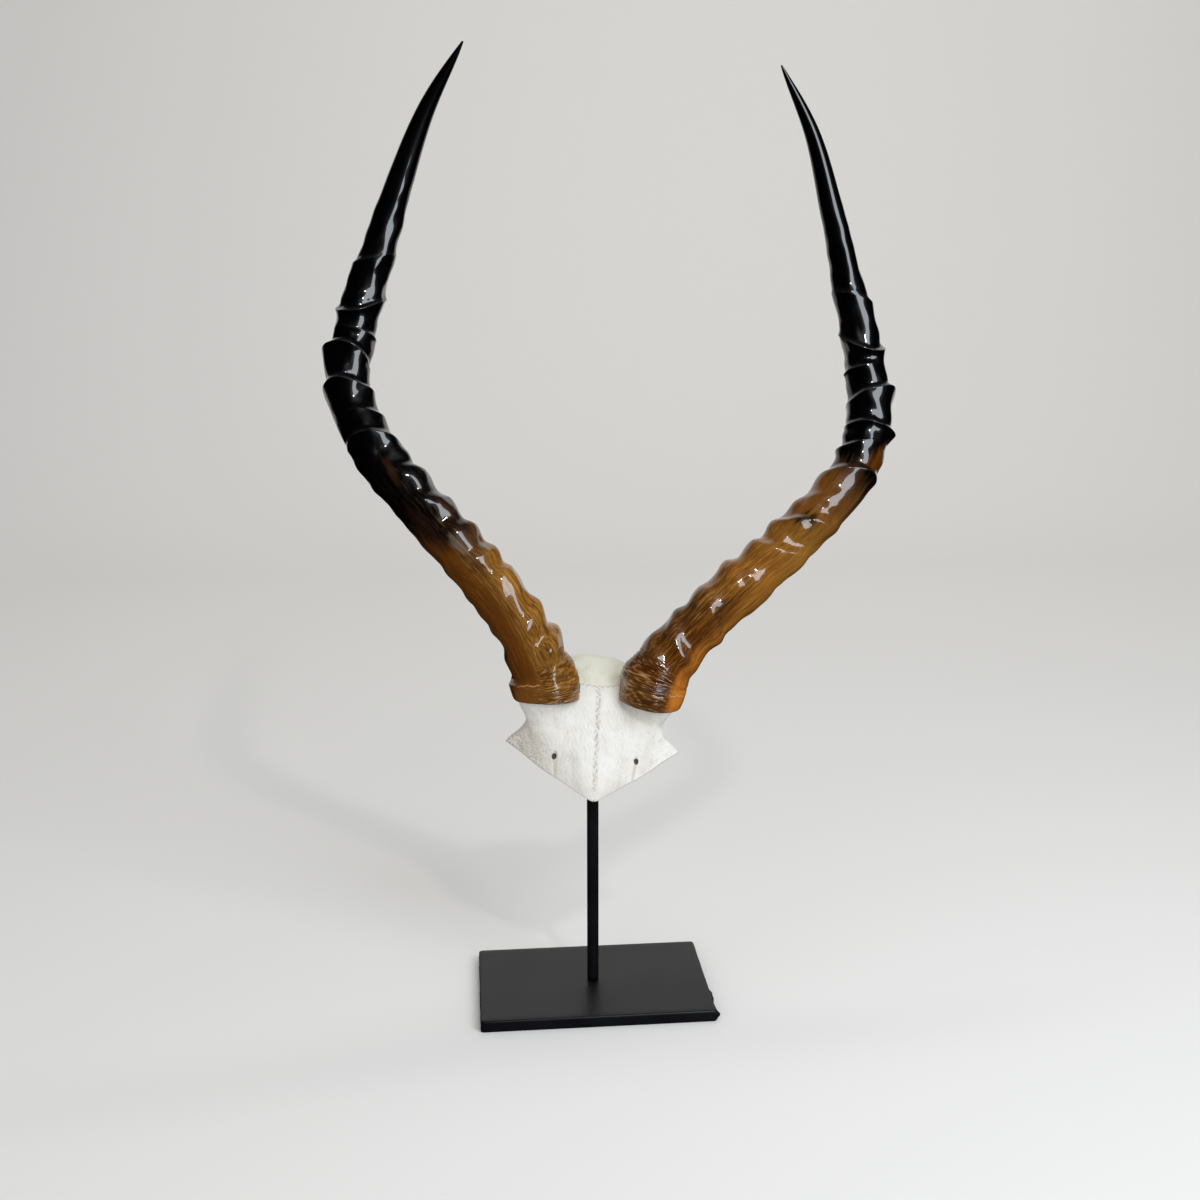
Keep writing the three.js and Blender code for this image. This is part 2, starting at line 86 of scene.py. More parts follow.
# Each horn: its centre line, its rings (distance of the crest from the rim on the inner side, in
# front and on the outer side, then the crest's height at the same places), and its rim
LEFT_HORN = {
    "side": -1, "slim": 0, "seed": 11, "calm": (232, 16),
    "line": [
        (-34.3, 12, 217), (-36.5, 13, 228), (-43, 14.7, 240.5), (-55, 18, 261), (-70, 22.5, 280),
        (-87, 29, 297.5), (-121.5, 41.5, 330), (-155.5, 58.5, 364.5), (-178, 79, 405),
        (-175.5, 97.5, 452), (-163, 109, 499), (-151, 114, 546), (-134.5, 113, 596.5), (-112, 106, 641),
    ],
    "rings": [
        (9, 0, 15, 2.6, 1.5, 2.2), (34, 24, 30, 5.5, 2, 1.2), (53, 46, 54, 3.2, 2, 1.4),
        (82, 78, 80, 3.2, 1.6, 0.5), (99, 101, 108, 2.6, 1.4, 1.4), (118, 127, 130, 3, 1.4, 0.4),
        (143.5, 154, 158, 2.8, 1.4, 0.4), (170, 181, 184, 3.2, 1.4, 0.5), (198, 214, 209, 3, 2.2, 0.8),
        (221.5, 231, 226, 1.5, 0.3, 0.2), (243.5, 254, 253, 2.1, 2.6, 2.8),
        (267, 279.5, 277, 1, 2.8, 4.8), (290.5, 292, 291, 2.2, 0.7, 0.3),
        (322, 305.5, 306, 2.4, 2.4, 2.8), (353, 346, 337, 0.8, 0.9, 1.8),
    ],
    "rim": (-6, 3.5, -0.5),
}
RIGHT_HORN = {
    "side": 1, "slim": 0.1, "seed": 29, "calm": (188, 15),
    "line": [
        (39.8, 12, 220.5), (43, 13, 231.5), (50.5, 14.6, 243), (66, 17.5, 262), (102.5, 26.5, 299),
        (140, 38, 333), (172.5, 53.5, 368), (184, 64, 389.5), (188, 74.5, 412.5), (182.5, 92.5, 457),
        (169.5, 105.5, 505), (154, 111, 553), (134.5, 109.5, 602), (106.5, 102.5, 644),
    ],
    "rings": [
        (7, 3, 6, 2.2, 1.5, 0.4), (28, 14, 20, 2.4, 1, 1.2), (48, 31, 38, 2.6, 2.4, 0.8),
        (72, 61.5, 55, 2.4, 2.2, 2.2), (98, 98, 106, 2.8, 1.2, 2.8), (119, 131, 146, 3, 3, 0.5),
        (141, 161, 168, 2.4, 2.8, 0.8), (167, 186, 192, 1.6, 0.5, 0.3),
        (194, 210.5, 209, 2.8, 2.6, 1.2), (221, 233, 230, 2, 0.4, 0.2),
        (245, 246, 243.5, 1.4, 2.8, 4.2), (265, 272, 272.5, 1, 2.8, 4.8),
        (289, 290.5, 289, 2.2, 0.7, 0.3), (318.5, 301.5, 305, 2, 2.4, 3),
        (350, 343.5, 335.5, 0.8, 1, 1.8),
    ],
    "rim": (-8.5, 4, 3),
}

# ---- sizes of the finer shape ----
RING_FLANK = 5  # the steep side of a ring, above its crest
SOFT_FLANK = 9  # the same low down, where the rings are rounded lobes
SOFT_RINGS_END = (196, 212)  # over this stretch lobes turn into sharp steps
RING_SWELL = 1.7
CREST_WOBBLE = 0.7  # how far a crest wanders up and down
CREST_UNEVENNESS = 0.18  # share by which a crest's height varies round the horn
LUMP = 0.5  # low lumps all over the horn
DENT = 0.13  # smaller ones between them
LUMPS_FADE = (330, 430)  # over this stretch both die out towards the smooth tip
CALM_SHARE = 0.85  # how much of them is missing in the calm stretch
WRINKLE = 0.55  # bark-like wrinkles over the rim
WRINKLE_FADE = (15, 24)
RIM_ROUNDING = 0.7
RIM_SEARCH, RIM_STEP = 16, 0.25  # how far above its rim a horn looks for a place clear of the bone
GRAIN_RADIUS = 18  # steady, so that the grain runs on over the lobes
GRAIN_SWERVE = 0.35  # and swerves round them by this share of their height
THINNEST_WALL = 0.8
TIP_RADIUS, TIP_ROUNDING = 0.55, 0.5
HORN_SIDES = 144
FIRST_ROWS, WRINKLE_ROWS, RING_ROWS, TIP_ROWS, LINING_ROWS = 34, 76, 24, 84, 14
LINING_HALVINGS = 24
SKULL_ROWS, SKULL_COLUMNS, UNDERSIDE_COLUMNS = 250, 260, 90
RAY_MIDDLE, RAY_REACH, RAY_STEP, RAY_HALVINGS = 60.0, 112.0, 1.6, 18
WING_LOBE, WING_LOBE_BACK, WING_LOBE_REACH = 2.4, 52.5, 3
SUTURE_DEPTH = 0.5
SUTURE_LINE = 0.55  # half width of the zigzag down the middle of the brow
SUTURE_BAND = 1.9  # half width of the strip of small marks beside it
CROSS_SUTURE_BACK, CROSS_SUTURE_LINE = 70, 0.6
FORAMEN_RADIUS, FORAMEN_DEPTH = 2.0, 1.2
GROOVE_LINE, GROOVE_DEPTH = 1.3, 0.5
PLATE_CORNER, FRONT_BEVEL = 2, 1.6
NUB, NUB_PLACE, NUB_HEIGHT = 2.6, -49.6, 4.2
EDGE_BUMP, EDGE_ROUGHNESS = 1.1, 0.12
ROD_SIDES, ROD_ROWS, ROD_EASED_EDGE = 96, 40, 0.1


# ---- numbers ----
def smoothstep(value, low=0.0, high=1.0):
    """3t² − 2t³, with t the share of the way from low to high, held between 0 and 1."""
    t = np.clip((value - low) / (high - low), 0, 1)
    return t * t * (3 - 2 * t)


def along_knots(knots, at):
    """Cubic Hermite curve through (place, value) knots, whose slope at a knot is the mean of the
    slopes either side; flat beyond both ends."""
    places, values = np.array(knots, float).T
    slopes = np.diff(values) / np.diff(places)
    tangents = np.concatenate([slopes[:1], (slopes[1:] + slopes[:-1]) / 2, slopes[-1:]])
    at = np.clip(at, places[0], places[-1])
    i = np.clip(np.searchsorted(places, at, "right") - 1, 0, len(places) - 2)
    span = places[i + 1] - places[i]
    t = (at - places[i]) / span
    start = values[i] * (1 + 2 * t) * (1 - t) ** 2 + tangents[i] * span * t * (1 - t) ** 2
    return start + values[i + 1] * t * t * (3 - 2 * t) - tangents[i + 1] * span * t * t * (1 - t)


def ripples(points, lengths, seed, terms=24):
    """Uneven waves: the sum of cosines of k·p + φ over the square root of half their number, each k
    drawn from a normal spread of 2π / wavelength along each axis and each φ at random."""
    rng = np.random.default_rng(seed)
    waves = rng.normal(size=(terms, 3)) * (2 * pi / np.array(lengths, float))
    phases = rng.uniform(0, 2 * pi, terms)
    total = 0
    for wave, phase in zip(waves, phases):
        total = total + np.cos(points @ wave + phase)
    return total / np.sqrt(terms / 2)


def bell(value, width):
    """e^(−(value / width)²)."""
    return np.exp(-((value / width) ** 2))


def on_tube(radius, angle, height):
    """r cos θ, r sin θ and the height."""
    round_about = radius * np.cos(angle), radius * np.sin(angle)
    return np.stack(np.broadcast_arrays(*round_about, height), -1)


def unit(vectors):
    """Each vector over its length."""
    return vectors / np.linalg.norm(vectors, axis=-1, keepdims=True)


def trophy_to_part(points):
    """Turns by the roll about the Y axis through the pivot: x' = x cos + z sin, z' = z cos − x sin."""
    x, y, z = points[..., 0], points[..., 1], points[..., 2] - TROPHY_PIVOT_HEIGHT
    turned_x = x * cos(TROPHY_ROLL) + z * sin(TROPHY_ROLL)
    turned_z = z * cos(TROPHY_ROLL) - x * sin(TROPHY_ROLL) + TROPHY_PIVOT_HEIGHT
    return np.stack([turned_x, y, turned_z], -1)


# ---- meshes ----
def add_object(name, data):
    added = bpy.data.objects.new(name, data)
    bpy.context.scene.collection.objects.link(added)
    return added


def add_mesh(name, points, faces, material):
    """Mesh from points in metres, with smooth faces."""
    mesh = bpy.data.meshes.new(name)
    mesh.from_pydata(points.tolist(), [], faces)
    mesh.polygons.foreach_set("use_smooth", np.ones(len(faces), bool))
    mesh.materials.append(material)
    mesh.update()
    return add_object(name, mesh)


def make_piece(name, points, quads, triangles, material, replaces):
    """Closed mesh from points in millimetres, shown in place of one solid."""
    piece = add_mesh(name, points * MM, quads.tolist() + triangles.tolist(), material)
    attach(piece, "root")
    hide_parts(replaces)
    return piece


def tube_faces(rows, columns, flip):
    """Quads between rings that each have the same number of points, then the fans of triangles to
    the two pole points that follow them."""
    row, column = np.meshgrid(np.arange(rows - 1), np.arange(columns), indexing="ij")
    a = (row * columns + column).ravel()
    b = (row * columns + (column + 1) % columns).ravel()
    quads = np.stack([a, b, b + columns, a + columns], 1)
    around = np.arange(columns)
    after = (around + 1) % columns
    first = np.full(columns, rows * columns)
    last = (rows - 1) * columns
    fans = np.concatenate([
        np.stack([first, after, around], 1),
        np.stack([first + 1, last + around, last + after], 1),
    ])
    return (quads[:, ::-1], fans[:, ::-1]) if flip else (quads, fans)


def add_attribute(piece, name, values):
    """Puts one number or one vector on each point."""
    kind, field = ("FLOAT_VECTOR", "vector") if values.ndim == 2 else ("FLOAT", "value")
    layer = piece.data.attributes.new(name, kind, "POINT")
    layer.data.foreach_set(field, values.astype(np.float32).ravel())


# ---- bone ----
def skull_point(x, b, h):
    """Across, back along the tilted cut and square to it, swaying aside and dropping to the right."""
    return np.stack([
        x + CUT_SWAY * b,
        CUT_FRONT_Y + b * cos(CUT_TILT) - h * sin(CUT_TILT),
        CUT_FRONT_Z + b * sin(CUT_TILT) + h * cos(CUT_TILT) - CUT_DROP * x,
    ], -1)


def skull_measures(points):
    """x, b and h of points in the trophy's frame: the inverse of skull_point."""
    columns = np.stack([skull_point(*axis) - skull_point(0, 0, 0) for axis in np.eye(3)], 1)
    return np.moveaxis((points - skull_point(0, 0, 0)) @ np.linalg.inv(columns).T, -1, 0)


def occiput(b):
    """Quarter ellipse √(1 − share²) that rounds off the back."""
    share = np.clip((b - OCCIPUT_START) / (CAP_LENGTH - OCCIPUT_START), 0, 1)
    return np.sqrt(np.maximum(1 - share * share, 1e-4))


def cap_half_width(b):
    """A V with a rounded point, √((b + r)² − r²) to a power, then the braincase."""
    def rounded(at):
        return np.sqrt((at + FRONT_POINT_ROUNDING) ** 2 - FRONT_POINT_ROUNDING**2)
    point = ORBIT_HALF_WIDTH * (rounded(np.clip(b, 0, ORBIT_BACK)) / rounded(ORBIT_BACK)) ** SIDE_BOW
    return np.where(b <= ORBIT_BACK, point, along_knots(BRAINCASE_HALF_WIDTH, b) * occiput(b))


def cap_distance(x, b, h):
    """An arch across, |x / width|^side + |h / height|^crown = 1, cut off in front and behind. A low
    lobe e^(−((b − place) / reach)²) fills out the left wing."""
    lobe = WING_LOBE * bell(b - WING_LOBE_BACK, WING_LOBE_REACH) * smoothstep(-x, 20, 40)
    width = np.maximum(cap_half_width(b) + lobe, NARROWEST)
    height = np.maximum(along_knots(MIDLINE_HEIGHT, b) * occiput(b), NARROWEST)
    crown = along_knots(CROWN_POWER, b)
    arch = np.abs(x / width) ** SIDE_POWER + np.sign(h) * (np.abs(h) / height) ** crown
    return np.maximum(np.maximum((arch - 1) * height / crown, -b), b - CAP_LENGTH)


def core_distance(points, horn):
    """A cone with a waist about the horn's axis at its rim, with a blunt top."""
    centre, tangent, _, _ = horn_station(horn, np.zeros(1))
    offset = points - centre[0]
    along = offset @ tangent[0]
    out = np.linalg.norm(offset - along[..., None] * tangent[0], axis=-1)
    return np.maximum(out - along_knots(PEDICLE_PROFILE, along), along - PEDICLE_HEIGHT)


def skull_distance(x, b, h):
    """The cap and both cores, min(a, c) − overlap² · size / 4 where they are alike."""
    points = skull_point(x, b, h)
    cores = np.minimum(core_distance(points, LEFT_HORN), core_distance(points, RIGHT_HORN))
    cap = cap_distance(x, b, h)
    overlap = np.maximum(BONE_BLEND - np.abs(cap - cores), 0) / BONE_BLEND
    return np.minimum(cap, cores) - overlap * overlap * BONE_BLEND / 4


def bone_clearance(points):
    """The skull's distance at points of the trophy."""
    return skull_distance(*skull_measures(points))


# ---- horns ----
def lay_line(horn):
    """Centripetal Catmull-Rom curve: cubic spans whose end slopes weigh the neighbouring chords by
    the square root of their lengths, then measured along its arc."""
    given = np.array(horn["line"], float)
    p = np.concatenate([[2 * given[0] - given[1]], given, [2 * given[-1] - given[-2]]])
    step = np.sqrt(np.linalg.norm(np.diff(p, axis=0), axis=1))[:, None]
    before, here, after = step[:-2], step[1:-1], step[2:]
    p0, p1, p2, p3 = p[:-3], p[1:-2], p[2:-1], p[3:]
    leaving = here * ((p1 - p0) / before - (p2 - p0) / (before + here) + (p2 - p1) / here)
    arriving = here * ((p2 - p1) / here - (p3 - p1) / (here + after) + (p3 - p2) / after)
    t = np.linspace(0, 1, 160, endpoint=False)[None, :, None]
    p1, p2, leaving, arriving = p1[:, None], p2[:, None], leaving[:, None], arriving[:, None]
    bend = -3 * p1 + 3 * p2 - 2 * leaving - arriving
    close = 2 * p1 - 2 * p2 + leaving + arriving
    curve = (p1 + leaving * t + bend * t**2 + close * t**3).reshape(-1, 3)
    curve = np.concatenate([curve, given[-1:]])
    chords = np.linalg.norm(np.diff(curve, axis=0), axis=1)
    horn["arc"] = np.concatenate([[0], np.cumsum(chords)])
    horn["curve"] = curve
    horn["tangent"] = unit(np.gradient(curve, horn["arc"], axis=0))
    horn["length"] = horn["arc"][-1]


def horn_station(horn, distance):
    """Centre, tangent, front and outer directions; straight on below the rim. Front is -Y made
    square to the tangent, and outer is tangent × front, mirrored for the left horn."""
    along = np.clip(distance, 0, horn["length"])
    centre, tangent = (
        np.stack([np.interp(along, horn["arc"], values[:, i]) for i in range(3)], -1)
        for values in (horn["curve"], horn["tangent"])
    )
    tangent = unit(tangent)
    centre = centre + tangent * np.minimum(distance, 0)[..., None]
    front = unit(np.array([0, -1, 0]) + tangent * tangent[..., 1:2])
    outer = np.cross(tangent, front) * horn["side"]
    return centre, tangent, front, outer


def around_horn(inner, front, outer, back_share, angle):
    """The harmonics a + b cos θ + c sin θ + d cos 2θ through the values of three sides and a back
    that has the mean of the sides less part of what the front adds."""
    sides = (inner + outer) / 2
    back = sides - back_share * (front - sides)
    mean = (2 * sides + front + back) / 4
    waist = (front + back - 2 * sides) / 4
    swing = (front - back) / 2 * np.cos(angle) + (outer - inner) / 2 * np.sin(angle)
    return mean + swing + waist * np.cos(2 * angle)


def ring_crests(horn, angle):
    """Station and height of each crest round the horn. A crest wanders by a few whole waves."""
    rng = np.random.default_rng(horn["seed"])
    stations, heights = [], []
    for ring in horn["rings"]:
        waves = np.arange(2, 6)[:, None]
        sizes = rng.normal(size=(4, 1)) * CREST_WOBBLE / waves**0.5 / 2
        wobble = (sizes * np.cos(waves * angle + rng.uniform(0, 2 * pi, (4, 1)))).sum(0)
        stations.append(around_horn(*ring[:3], 0.5, angle) + wobble)
        lobes = np.cos(np.arange(2, 6)[:, None] * angle + rng.uniform(0, 2 * pi, (4, 1))).mean(0)
        even = np.maximum(around_horn(*ring[3:], 0.2, angle), 0)
        heights.append(even * (1 + CREST_UNEVENNESS * lobes))
    return np.array(stations), np.array(heights)


def ring_relief(horn, distance, angle):
    """Up to each crest by rise^swell, then down its flank by (1 − t)²; low down both turn into
    3t² − 2t³, which rounds the crest off. Also how close a point is to a crest, e^(−(d/0.5)²), and
    how far up a flank it lies, both weighed by the crest's height."""
    stations, heights = ring_crests(horn, angle)
    relief, edge, flank_share = (np.zeros_like(distance) for _ in range(3))
    floor = np.full_like(stations[:1], LOWEST_RIM)
    ceiling = np.full_like(stations[:1], 1e6)
    below, above = np.concatenate([floor, stations]), np.concatenate([stations, ceiling])
    none = np.zeros_like(heights[:1])
    lower, upper = np.concatenate([none, heights]), np.concatenate([heights, none])
    for k in range(len(below)):
        inside = (distance >= below[k]) & (distance < above[k])
        soft_below, soft_above = (1 - smoothstep(place[k], *SOFT_RINGS_END) for place in (below, above))
        flank = np.minimum(RING_FLANK + (SOFT_FLANK - RING_FLANK) * soft_below, 0.4 * (above[k] - below[k]))
        t = np.clip((distance - below[k]) / flank, 0, 1)
        down = (1 - t) ** 2 * (1 - soft_below) + (1 - smoothstep(t)) * soft_below
        start = flank if k else 0
        rise = np.clip((distance - below[k] - start) / (above[k] - below[k] - start), 0, 1)
        up = rise**RING_SWELL * (1 - soft_above) + smoothstep(rise) * soft_above
        relief += inside * (lower[k] * down + upper[k] * up)
        flank_share += inside * down * np.clip(lower[k] / 3, 0, 1)
    for station, height in zip(stations, heights):
        edge += bell(distance - station, 0.5) * np.clip(height / 2, 0, 1)
    return relief, np.clip(edge, 0, 1), flank_share


def bare_radius(horn, distance):
    """The curve of radii by the share of the way up, thinned from the middle on."""
    along = distance / horn["length"]
    return along_knots(HORN_RADIUS, along) * (1 - horn["slim"] * smoothstep(along, 0.5, 0.8))


def horn_surface(horn, distance, angle):
    """Radius along the horn: the bare radius, the rings, low lumps that fade out over the smooth
    tip and round one calm stretch, and wrinkles 1 − |waves| near the rim, weaker on the outer side."""
    bare = bare_radius(horn, distance)
    relief, edge, flank = ring_relief(horn, distance, angle)
    place = on_tube(bare, angle, distance)
    lumps = ripples(place, (30, 30, 36), horn["seed"] + 1) * LUMP
    lumps += ripples(place, (17, 17, 19), horn["seed"] + 2) * DENT
    lumps *= 1 - smoothstep(distance, *LUMPS_FADE)
    middle, reach = horn["calm"]
    lumps *= 1 - CALM_SHARE * bell(distance - middle, reach)
    near_rim = 1 - smoothstep(distance, *WRINKLE_FADE)
    facing = 0.15 + 0.85 * (1 - smoothstep(np.sin(angle), 0.15, 0.75))
    waves = ripples(place, (30, 30, 2.4), horn["seed"] + 3, 30)
    wrinkle = (1 - np.minimum(np.abs(waves) * 1.6, 1)) * near_rim * facing
    radius = bare + relief + lumps + (wrinkle - 0.4 * near_rim * facing) * WRINKLE
    return radius, edge, flank, wrinkle


def horn_points(horn, distance, angle, radius):
    """centre + front · r · oval · cos θ + outer · r · sin θ; the oval fades over the lower half."""
    centre, _, front, outer = horn_station(horn, distance)
    oval = HORN_OVAL + (1 - HORN_OVAL) * np.clip(distance / horn["length"] * 2, 0, 1)
    forward = (radius * oval * np.cos(angle))[..., None] * front
    return centre + forward + (radius * np.sin(angle))[..., None] * outer


def clear_rim(horn, angle):
    """Lowest place round the horn where its skin stands clear of the bone."""
    middle, climb, dip = horn["rim"]
    rim = middle + climb * np.sin(angle) - dip * np.cos(angle)
    count = round(RIM_SEARCH / RIM_STEP)
    steps = rim + np.linspace(0, RIM_SEARCH, count + 1)[:, None]
    skin = horn_points(horn, steps, angle, bare_radius(horn, steps))
    buried = bone_clearance(skin) < SHEATH_CLEARANCE
    lift = np.where(buried.any(0), count - np.argmax(buried[::-1], 0), 0) * RIM_STEP
    return rim + lift


def horn_rows(horn, angle):
    """Rows that follow the crests, closer together on each side of a crest, then the smooth tip by
    sin of the share of the way."""
    stations, _ = ring_crests(horn, angle)
    below = clear_rim(horn, angle) + RIM_ROUNDING
    rows = []
    for k, station in enumerate(stations):
        crest = np.maximum(station, below + 2)
        count = (FIRST_ROWS, WRINKLE_ROWS)[k] if k < 2 else RING_ROWS
        t = np.arange(count)[:, None] / count
        share = t - 0.09 * np.sin(2 * pi * t)
        rows.append(below + (crest - below) * share)
        below = crest
    t = np.linspace(0, 1, TIP_ROWS)[:, None]
    rows.append(below + (horn["length"] - below) * np.sin(t * pi / 2))
    return np.concatenate(rows)


def inner_radius(horn, distance, angle, limit):
    """Radius at which the lining stands clear of the bone, by halving the span again and again."""
    low, high = np.zeros_like(limit), limit.copy()
    for _ in range(LINING_HALVINGS):
        middle = (low + high) / 2
        clear = bone_clearance(horn_points(horn, distance, angle, middle)) > SHEATH_CLEARANCE
        low, high = np.where(clear, low, middle), np.where(clear, middle, high)
    return high


def sheath_lining(horn, angle, outer_radius):
    """Rings of the cavity: a flat lid, the wall down to the rim, and the rim's underside."""
    rim = clear_rim(horn, angle)
    top = np.full_like(rim, PEDICLE_HEIGHT + SHEATH_CLEARANCE)
    heights = top + (rim - top) * np.linspace(0, 1, LINING_ROWS)[:, None]
    limit = np.minimum(bare_radius(horn, heights), outer_radius) - THINNEST_WALL - RIM_ROUNDING
    wall = inner_radius(horn, heights, angle, limit)
    lid = wall[:1] * np.array([[0.05], [0.5]])
    sole = wall[-1] + (outer_radius - RIM_ROUNDING - wall[-1]) * np.array([[0.5], [1]])
    turn = np.array([[0.35], [0.7]]) * pi / 2
    corner = outer_radius - RIM_ROUNDING * (1 - np.sin(turn))
    corner_heights = rim + RIM_ROUNDING * (1 - np.cos(turn))
    stations = np.concatenate([top + 0 * lid, heights, rim + 0 * sole, corner_heights])
    return stations, np.concatenate([lid, wall, sole, corner])


def make_horn(horn, name, material, replaces):
    """Lining and skin as one closed tube about the centre line, from the cavity's lid down, round
    the rim and up to the tip. Its points also carry their place on a straightened horn of steady
    radius, for the grain, and sin θ and cos θ."""
    angle = np.arange(HORN_SIDES) / HORN_SIDES * 2 * pi
    outside = horn_rows(horn, angle)
    skin, edge, flank, wrinkle = horn_surface(horn, outside, angle)
    skin[-1] = TIP_RADIUS
    inside, lining = sheath_lining(horn, angle, skin[0])
    stations = np.concatenate([inside, outside])
    radius = np.concatenate([lining, skin])
    points = horn_points(horn, stations, angle, radius).reshape(-1, 3)
    ends = np.array([PEDICLE_HEIGHT + SHEATH_CLEARANCE, horn["length"]])
    centre, tangent, _, _ = horn_station(horn, ends)
    poles = centre + tangent * np.array([[0], [TIP_ROUNDING]])
    points = trophy_to_part(np.concatenate([points, poles]))
    rows = len(stations)
    quads, fans = tube_faces(rows, HORN_SIDES, horn["side"] < 0)
    piece = make_piece(name, points, quads, fans, material, replaces)

    def over_all(values, lining_value):
        lined = np.full(inside.size, float(lining_value))
        return np.concatenate([lined, values.ravel(), [lining_value, values[-1].mean()]])

    grain_radius = GRAIN_RADIUS + GRAIN_SWERVE * (radius - bare_radius(horn, stations))
    straight = on_tube(grain_radius, angle, stations)
    straight_poles = np.stack([ends * 0, ends * 0, ends], 1)
    add_attribute(piece, "horn_place", np.concatenate([straight.reshape(-1, 3), straight_poles]))
    for label, side in (("outer_side", np.sin(angle)), ("front_side", np.cos(angle))):
        add_attribute(piece, label, np.concatenate([np.tile(side, rows), [0, 0]]))
    for label, values in (("ring_edge", edge), ("ring_flank", flank), ("wrinkle", wrinkle)):
        add_attribute(piece, label, over_all(values, 0))
    # The lining and the rim's underside are marked for painted shade.
    add_attribute(piece, "underside", over_all(0 * edge, 1))


# ---- skull cap ----
def midline_suture(x, b):
    """Closeness to a zigzag line down the middle of the brow."""
    zigzag = 0.9 * np.sin(b * 1.5) + 0.6 * np.sin(b * 2.7 + 1) + 0.5 * np.sin(b * 0.45)
    line = bell(x - zigzag, SUTURE_LINE)
    return line * smoothstep(b, 3, 8) * (1 - smoothstep(b, 68, 72))


def suture_band(x, b):
    """The strip e^(−(x / width)⁴) along the middle of the brow."""
    return np.exp(-((x / SUTURE_BAND) ** 4)) * smoothstep(b, 2, 8) * (1 - smoothstep(b, 66, 70))


def cross_suture_place(x):
    """b of the curved seam between brow and crown: it bows back from the middle outwards."""
    bow = 5 * (1 - np.cos(x / 13))
    return CROSS_SUTURE_BACK + bow + 0.7 * np.sin(x * 1.7) + 0.5 * np.sin(x * 3.1)


def cross_suture(x, b):
    """Closeness to the curved seam, which dies out before the horns."""
    line = bell(b - cross_suture_place(x), CROSS_SUTURE_LINE)
    return line * (1 - smoothstep(np.abs(x), 26, 34))


def foramen_pit(x, b):
    """1 in the middle of each hole, falling to 0 over its edge."""
    away = [np.hypot(x - place[0], b - place[1]) for place in FORAMINA]
    return 1 - smoothstep(np.minimum(*away), 0.35 * FORAMEN_RADIUS, FORAMEN_RADIUS)


def foramen_groove(x, b):
    """A shallow channel from each hole forward to the edge of the cut."""
    total = np.zeros_like(x)
    for place in FORAMINA:
        forward = place[1] - b
        line = place[0] * (1 - 0.006 * forward)
        channel = bell(x - line, GROOVE_LINE)
        total += channel * smoothstep(forward, 0, 2) * (1 - smoothstep(forward, 8, 16))
    return total


def underside_height(x, b):
    """Depth · √(1 − ρ²) of the deepest of the ellipsoid hollows at a place."""
    height = np.zeros_like(x)
    for middle_x, middle_b, half_width, half_length, depth in UNDERSIDE_HOLLOWS:
        spread = ((x - middle_x) / half_width) ** 2 + ((b - middle_b) / half_length) ** 2
        height = np.maximum(height, depth * np.sqrt(np.clip(1 - spread, 0, 1)))
    return height


def bone_surface():
    """Rays from a point in the cut, turned about the line front to back. Each meets the outermost
    place where the distance passes zero: steps inward find it and halving refines it."""
    turn = np.linspace(0, pi, SKULL_COLUMNS)[None, :]
    bow = np.linspace(0, pi, SKULL_ROWS + 2)[1:-1, None]
    across, up, back = np.sin(bow) * np.cos(turn), np.sin(bow) * np.sin(turn), -np.cos(bow) + 0 * turn
    reach = np.full(across.shape, RAY_REACH)
    found = np.zeros(across.shape, bool)

    def distance_at(reach):
        return skull_distance(across * reach, RAY_MIDDLE + back * reach, up * reach)

    for _ in range(round(RAY_REACH / RAY_STEP)):
        found |= distance_at(reach) < 0
        reach = np.where(found, reach, reach - RAY_STEP)
    low, high = reach, reach + RAY_STEP
    for _ in range(RAY_HALVINGS):
        half = (low + high) / 2
        inside = distance_at(half) < 0
        low, high = np.where(inside, half, low), np.where(inside, high, half)
    x, b, h = across * low, RAY_MIDDLE + back * low, up * low
    lumps = ripples(np.stack([x, b, h], -1), (22, 22, 22), 5) * 0.25
    lumps += ripples(np.stack([x, b, h], -1), (5, 9, 9), 6) * 0.06
    lowered = SUTURE_DEPTH * np.maximum(midline_suture(x, b), 0.8 * cross_suture(x, b))
    lowered += FORAMEN_DEPTH * foramen_pit(x, b) + GROOVE_DEPTH * foramen_groove(x, b)
    share = 1 - (lowered - lumps) * smoothstep(h, 0, 3) / np.maximum(low, 20)
    return x * share, RAY_MIDDLE + (b - RAY_MIDDLE) * share, h * share


